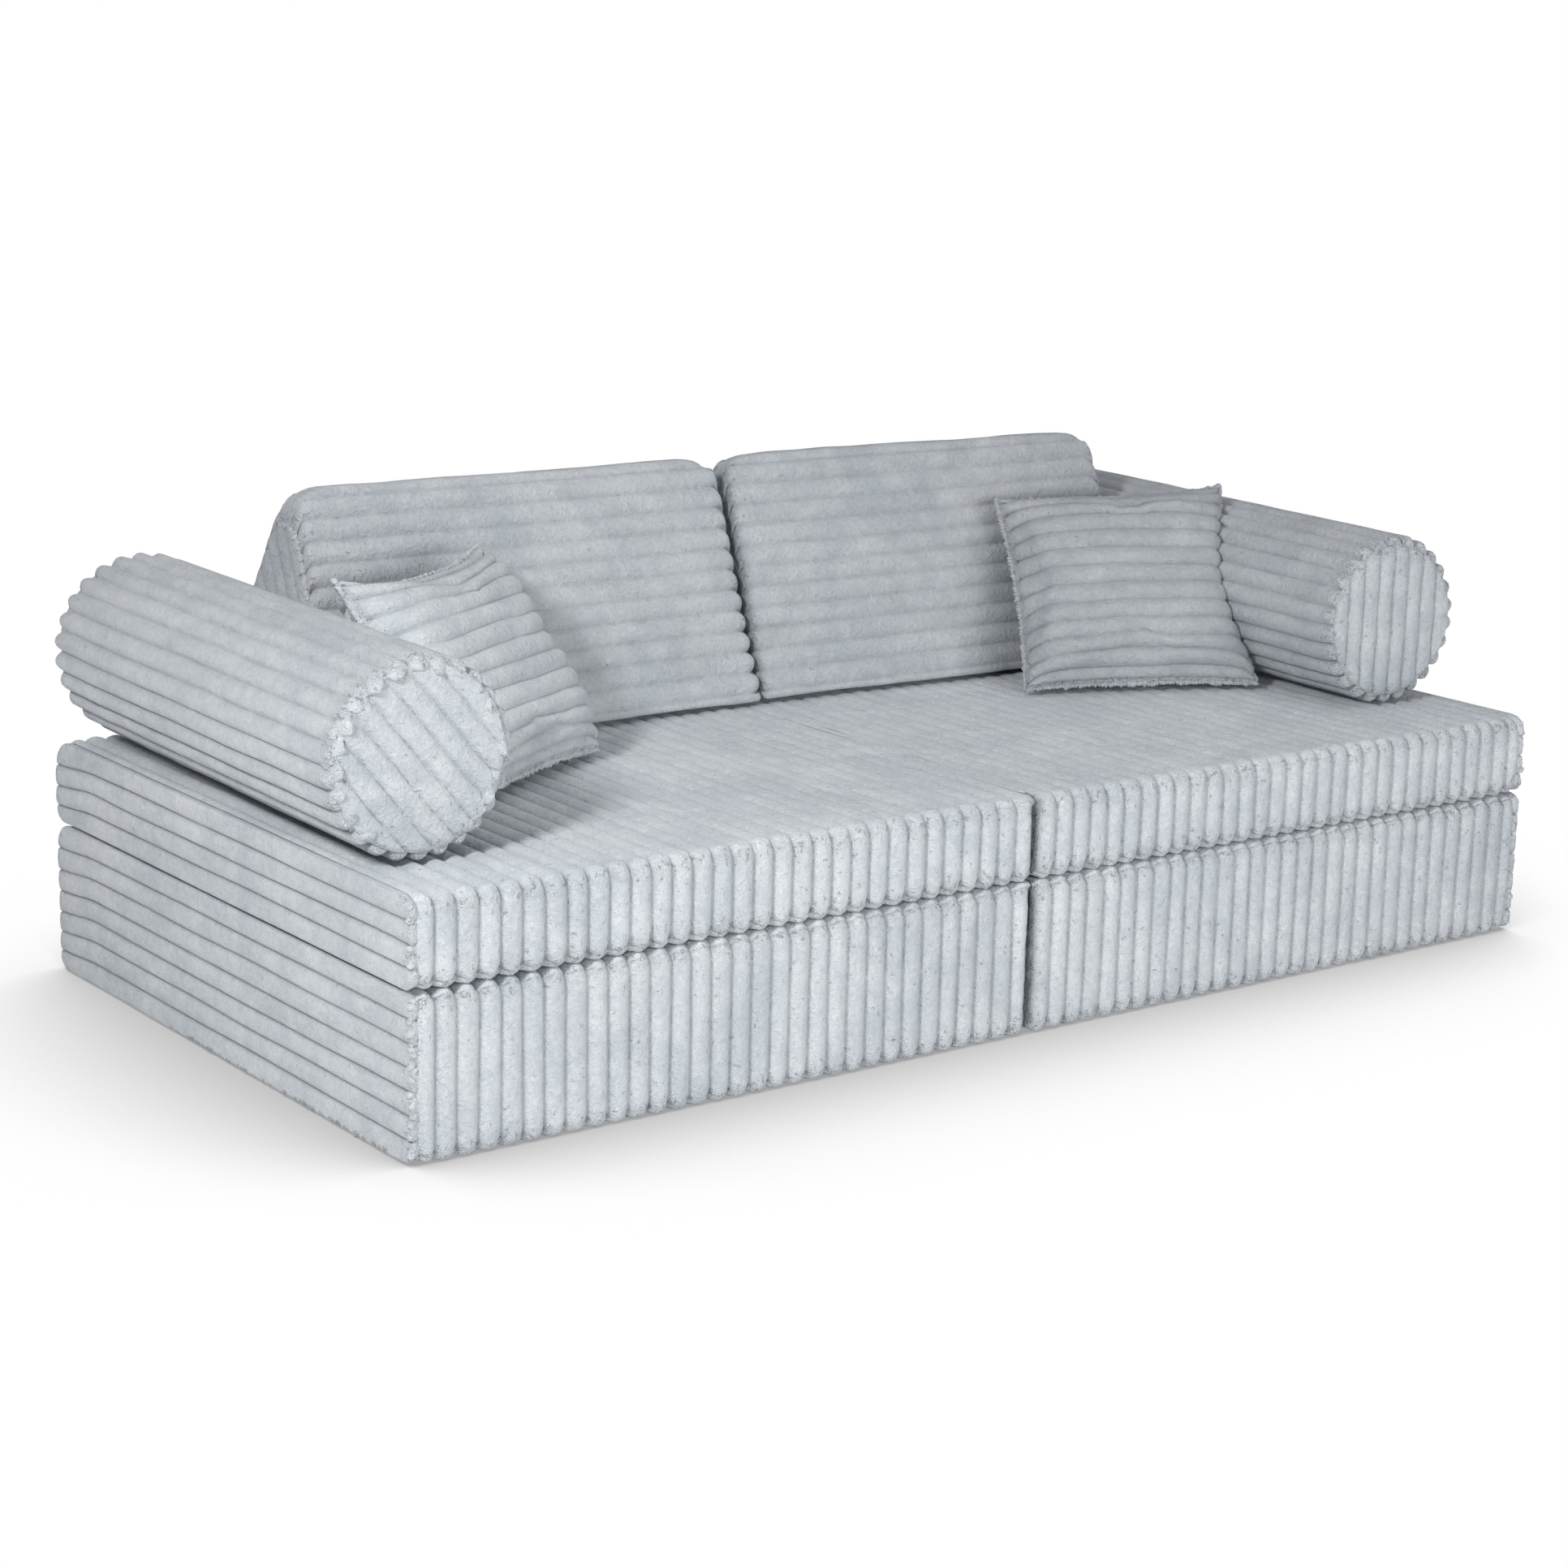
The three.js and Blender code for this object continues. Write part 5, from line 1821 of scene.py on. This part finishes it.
def hinge_strip():
    """A narrow rolled rib of plush along the seam that the seat folds about."""
    low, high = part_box("seat_hinge_strip")
    half = (high.x - low.x) / 2 - HINGE_CLEARANCE
    y = np.linspace(low.y, high.y, HINGE_STEPS)[:, None]
    angles = np.linspace(0, 2 * math.pi, HINGE_ROUND_STEPS, endpoint=False)
    fat = 1 + HINGE_UNEVEN * drift(len(y), len(angles), HINGE_UNEVEN_LUMPS, HINGE_SEED, True)
    ends = np.sqrt(np.clip(np.minimum(y - low.y, high.y - y) / HINGE_END, 0.02, 1))
    points = np.stack([
        (low.x + high.x) / 2 + np.cos(angles)[None, :] * half * fat * ends,
        np.broadcast_to(y, fat.shape),
        (low.z + high.z) / 2 + np.sin(angles)[None, :] * (high.z - low.z) / 2 * fat * ends,
    ], -1)[:, ::-1]
    # Painted lighter, as the tops are: painted light.
    strip = Sheet(points, tube_faces(len(y), len(angles)), 0.0, HINGE_FRAY, 1 + TOP_PAINTED_LIGHT)
    piece = make_piece("seat_hinge_fabric", strip, None, "plush")
    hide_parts("seat_hinge_strip")
    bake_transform(piece)


hinge_strip()


# Floor, backdrop and light

FLOOR_HALF = 12.0
FLOOR_GREY = 0.86
FLOOR_SHADE_REACH = 1.0
FLOOR_OPEN = 1.23
FLOOR_SHADE = 1.29
FLOOR_DEEPEST = 0.35
WHITE = (1.0, 1.0, 1.0)


def make_floor():
    """A matt white floor. The camera sees it as white, with a painted shadow only where the sofa hides it
    from the sky.
    """
    mesh = bpy.data.meshes.new("studio_floor")
    corners = [(x * FLOOR_HALF, y * FLOOR_HALF, 0) for x, y in ((-1, -1), (1, -1), (1, 1), (-1, 1))]
    mesh.from_pydata(corners, [], [(0, 1, 2, 3)])
    floor = bpy.data.objects.new("studio_floor", mesh)
    bpy.context.scene.collection.objects.link(floor)
    finish = Finish(bpy.data.materials.new("studio_floor"))
    matte = finish.node("ShaderNodeBsdfDiffuse", {}, {"Color": (FLOOR_GREY, FLOOR_GREY, FLOOR_GREY, 1)})
    reach = {"Distance": FLOOR_SHADE_REACH}
    sky_seen = finish.node("ShaderNodeAmbientOcclusion", {"samples": 16}, reach)["AO"]
    level = sky_seen * FLOOR_SHADE + (FLOOR_OPEN - FLOOR_SHADE)
    level = finish.node("ShaderNodeClamp", {}, {"Value": level, "Min": FLOOR_DEEPEST, "Max": 1.0})["Result"]
    shown = finish.node("ShaderNodeEmission", {}, {"Color": (*WHITE, 1), "Strength": level})
    shaders = {0: finish.in_view(), 1: matte["BSDF"], 2: shown["Emission"]}
    finish.surface(finish.node("ShaderNodeMixShader", {}, shaders)["Shader"])
    mesh.materials.append(finish.owner)


SKY_LEVEL = 0.03
SKY_OVERHEAD = 0.64
SKY_COLOUR = (0.97, 0.985, 1.0)


def make_world():
    """A dim sky that is brightest overhead, and white where the camera sees it."""
    world = bpy.data.worlds.new("studio")
    bpy.context.scene.world = world
    finish = Finish(world)
    seen = finish.in_view()
    way = finish.node("ShaderNodeTexCoord")["Generated"]
    height = finish.node("ShaderNodeSeparateXYZ", {}, {"Vector": way})["Z"]
    height = finish.maths("MAXIMUM", height, 0.0)
    light = SKY_LEVEL + height * height * SKY_OVERHEAD
    strength = light * (1 - seen) + seen
    colour = finish.mix(seen, (*SKY_COLOUR, 1), (*WHITE, 1))
    sky = finish.node("ShaderNodeBackground", {}, {"Color": colour, "Strength": strength})
    finish.surface(sky["Background"])


WARM_WHITE = (1.0, 0.99, 0.98)
LAMPS = {
    "key": {"place": (-2.33, -1.2, 1.63), "aim": (-0.6, -0.2, 0.3), "size": (0.4, 0.4), "power": 39},
    "front_strip": {"place": (0.1, -2.6, 0.8), "aim": (0.2, 0, 0.2), "size": (2.4, 0.7), "power": 34},
    "back_fill": {"place": (0, 2.8, 0.4), "aim": (0, 0.3, 0.25), "size": (2.4, 0.5), "power": 12},
}
LAMP_COLOURS = {"key": WARM_WHITE, "front_strip": WARM_WHITE, "back_fill": WHITE}


def make_lamp(name):
    facts = LAMPS[name]
    data = bpy.data.lights.new(name, "AREA")
    data.shape = "RECTANGLE"
    data.size, data.size_y = facts["size"]
    data.energy = facts["power"]
    data.color = LAMP_COLOURS[name]
    lamp = bpy.data.objects.new(name, data)
    way = Vector(facts["aim"]) - Vector(facts["place"])
    lamp.matrix_world = Matrix.Translation(facts["place"]) @ way.to_track_quat("-Z", "Y").to_matrix().to_4x4()
    lamp.visible_camera = False
    bpy.context.scene.collection.objects.link(lamp)


make_floor()
make_world()
for lamp_name in LAMPS:
    make_lamp(lamp_name)
bpy.context.scene.view_settings.view_transform = "Standard"
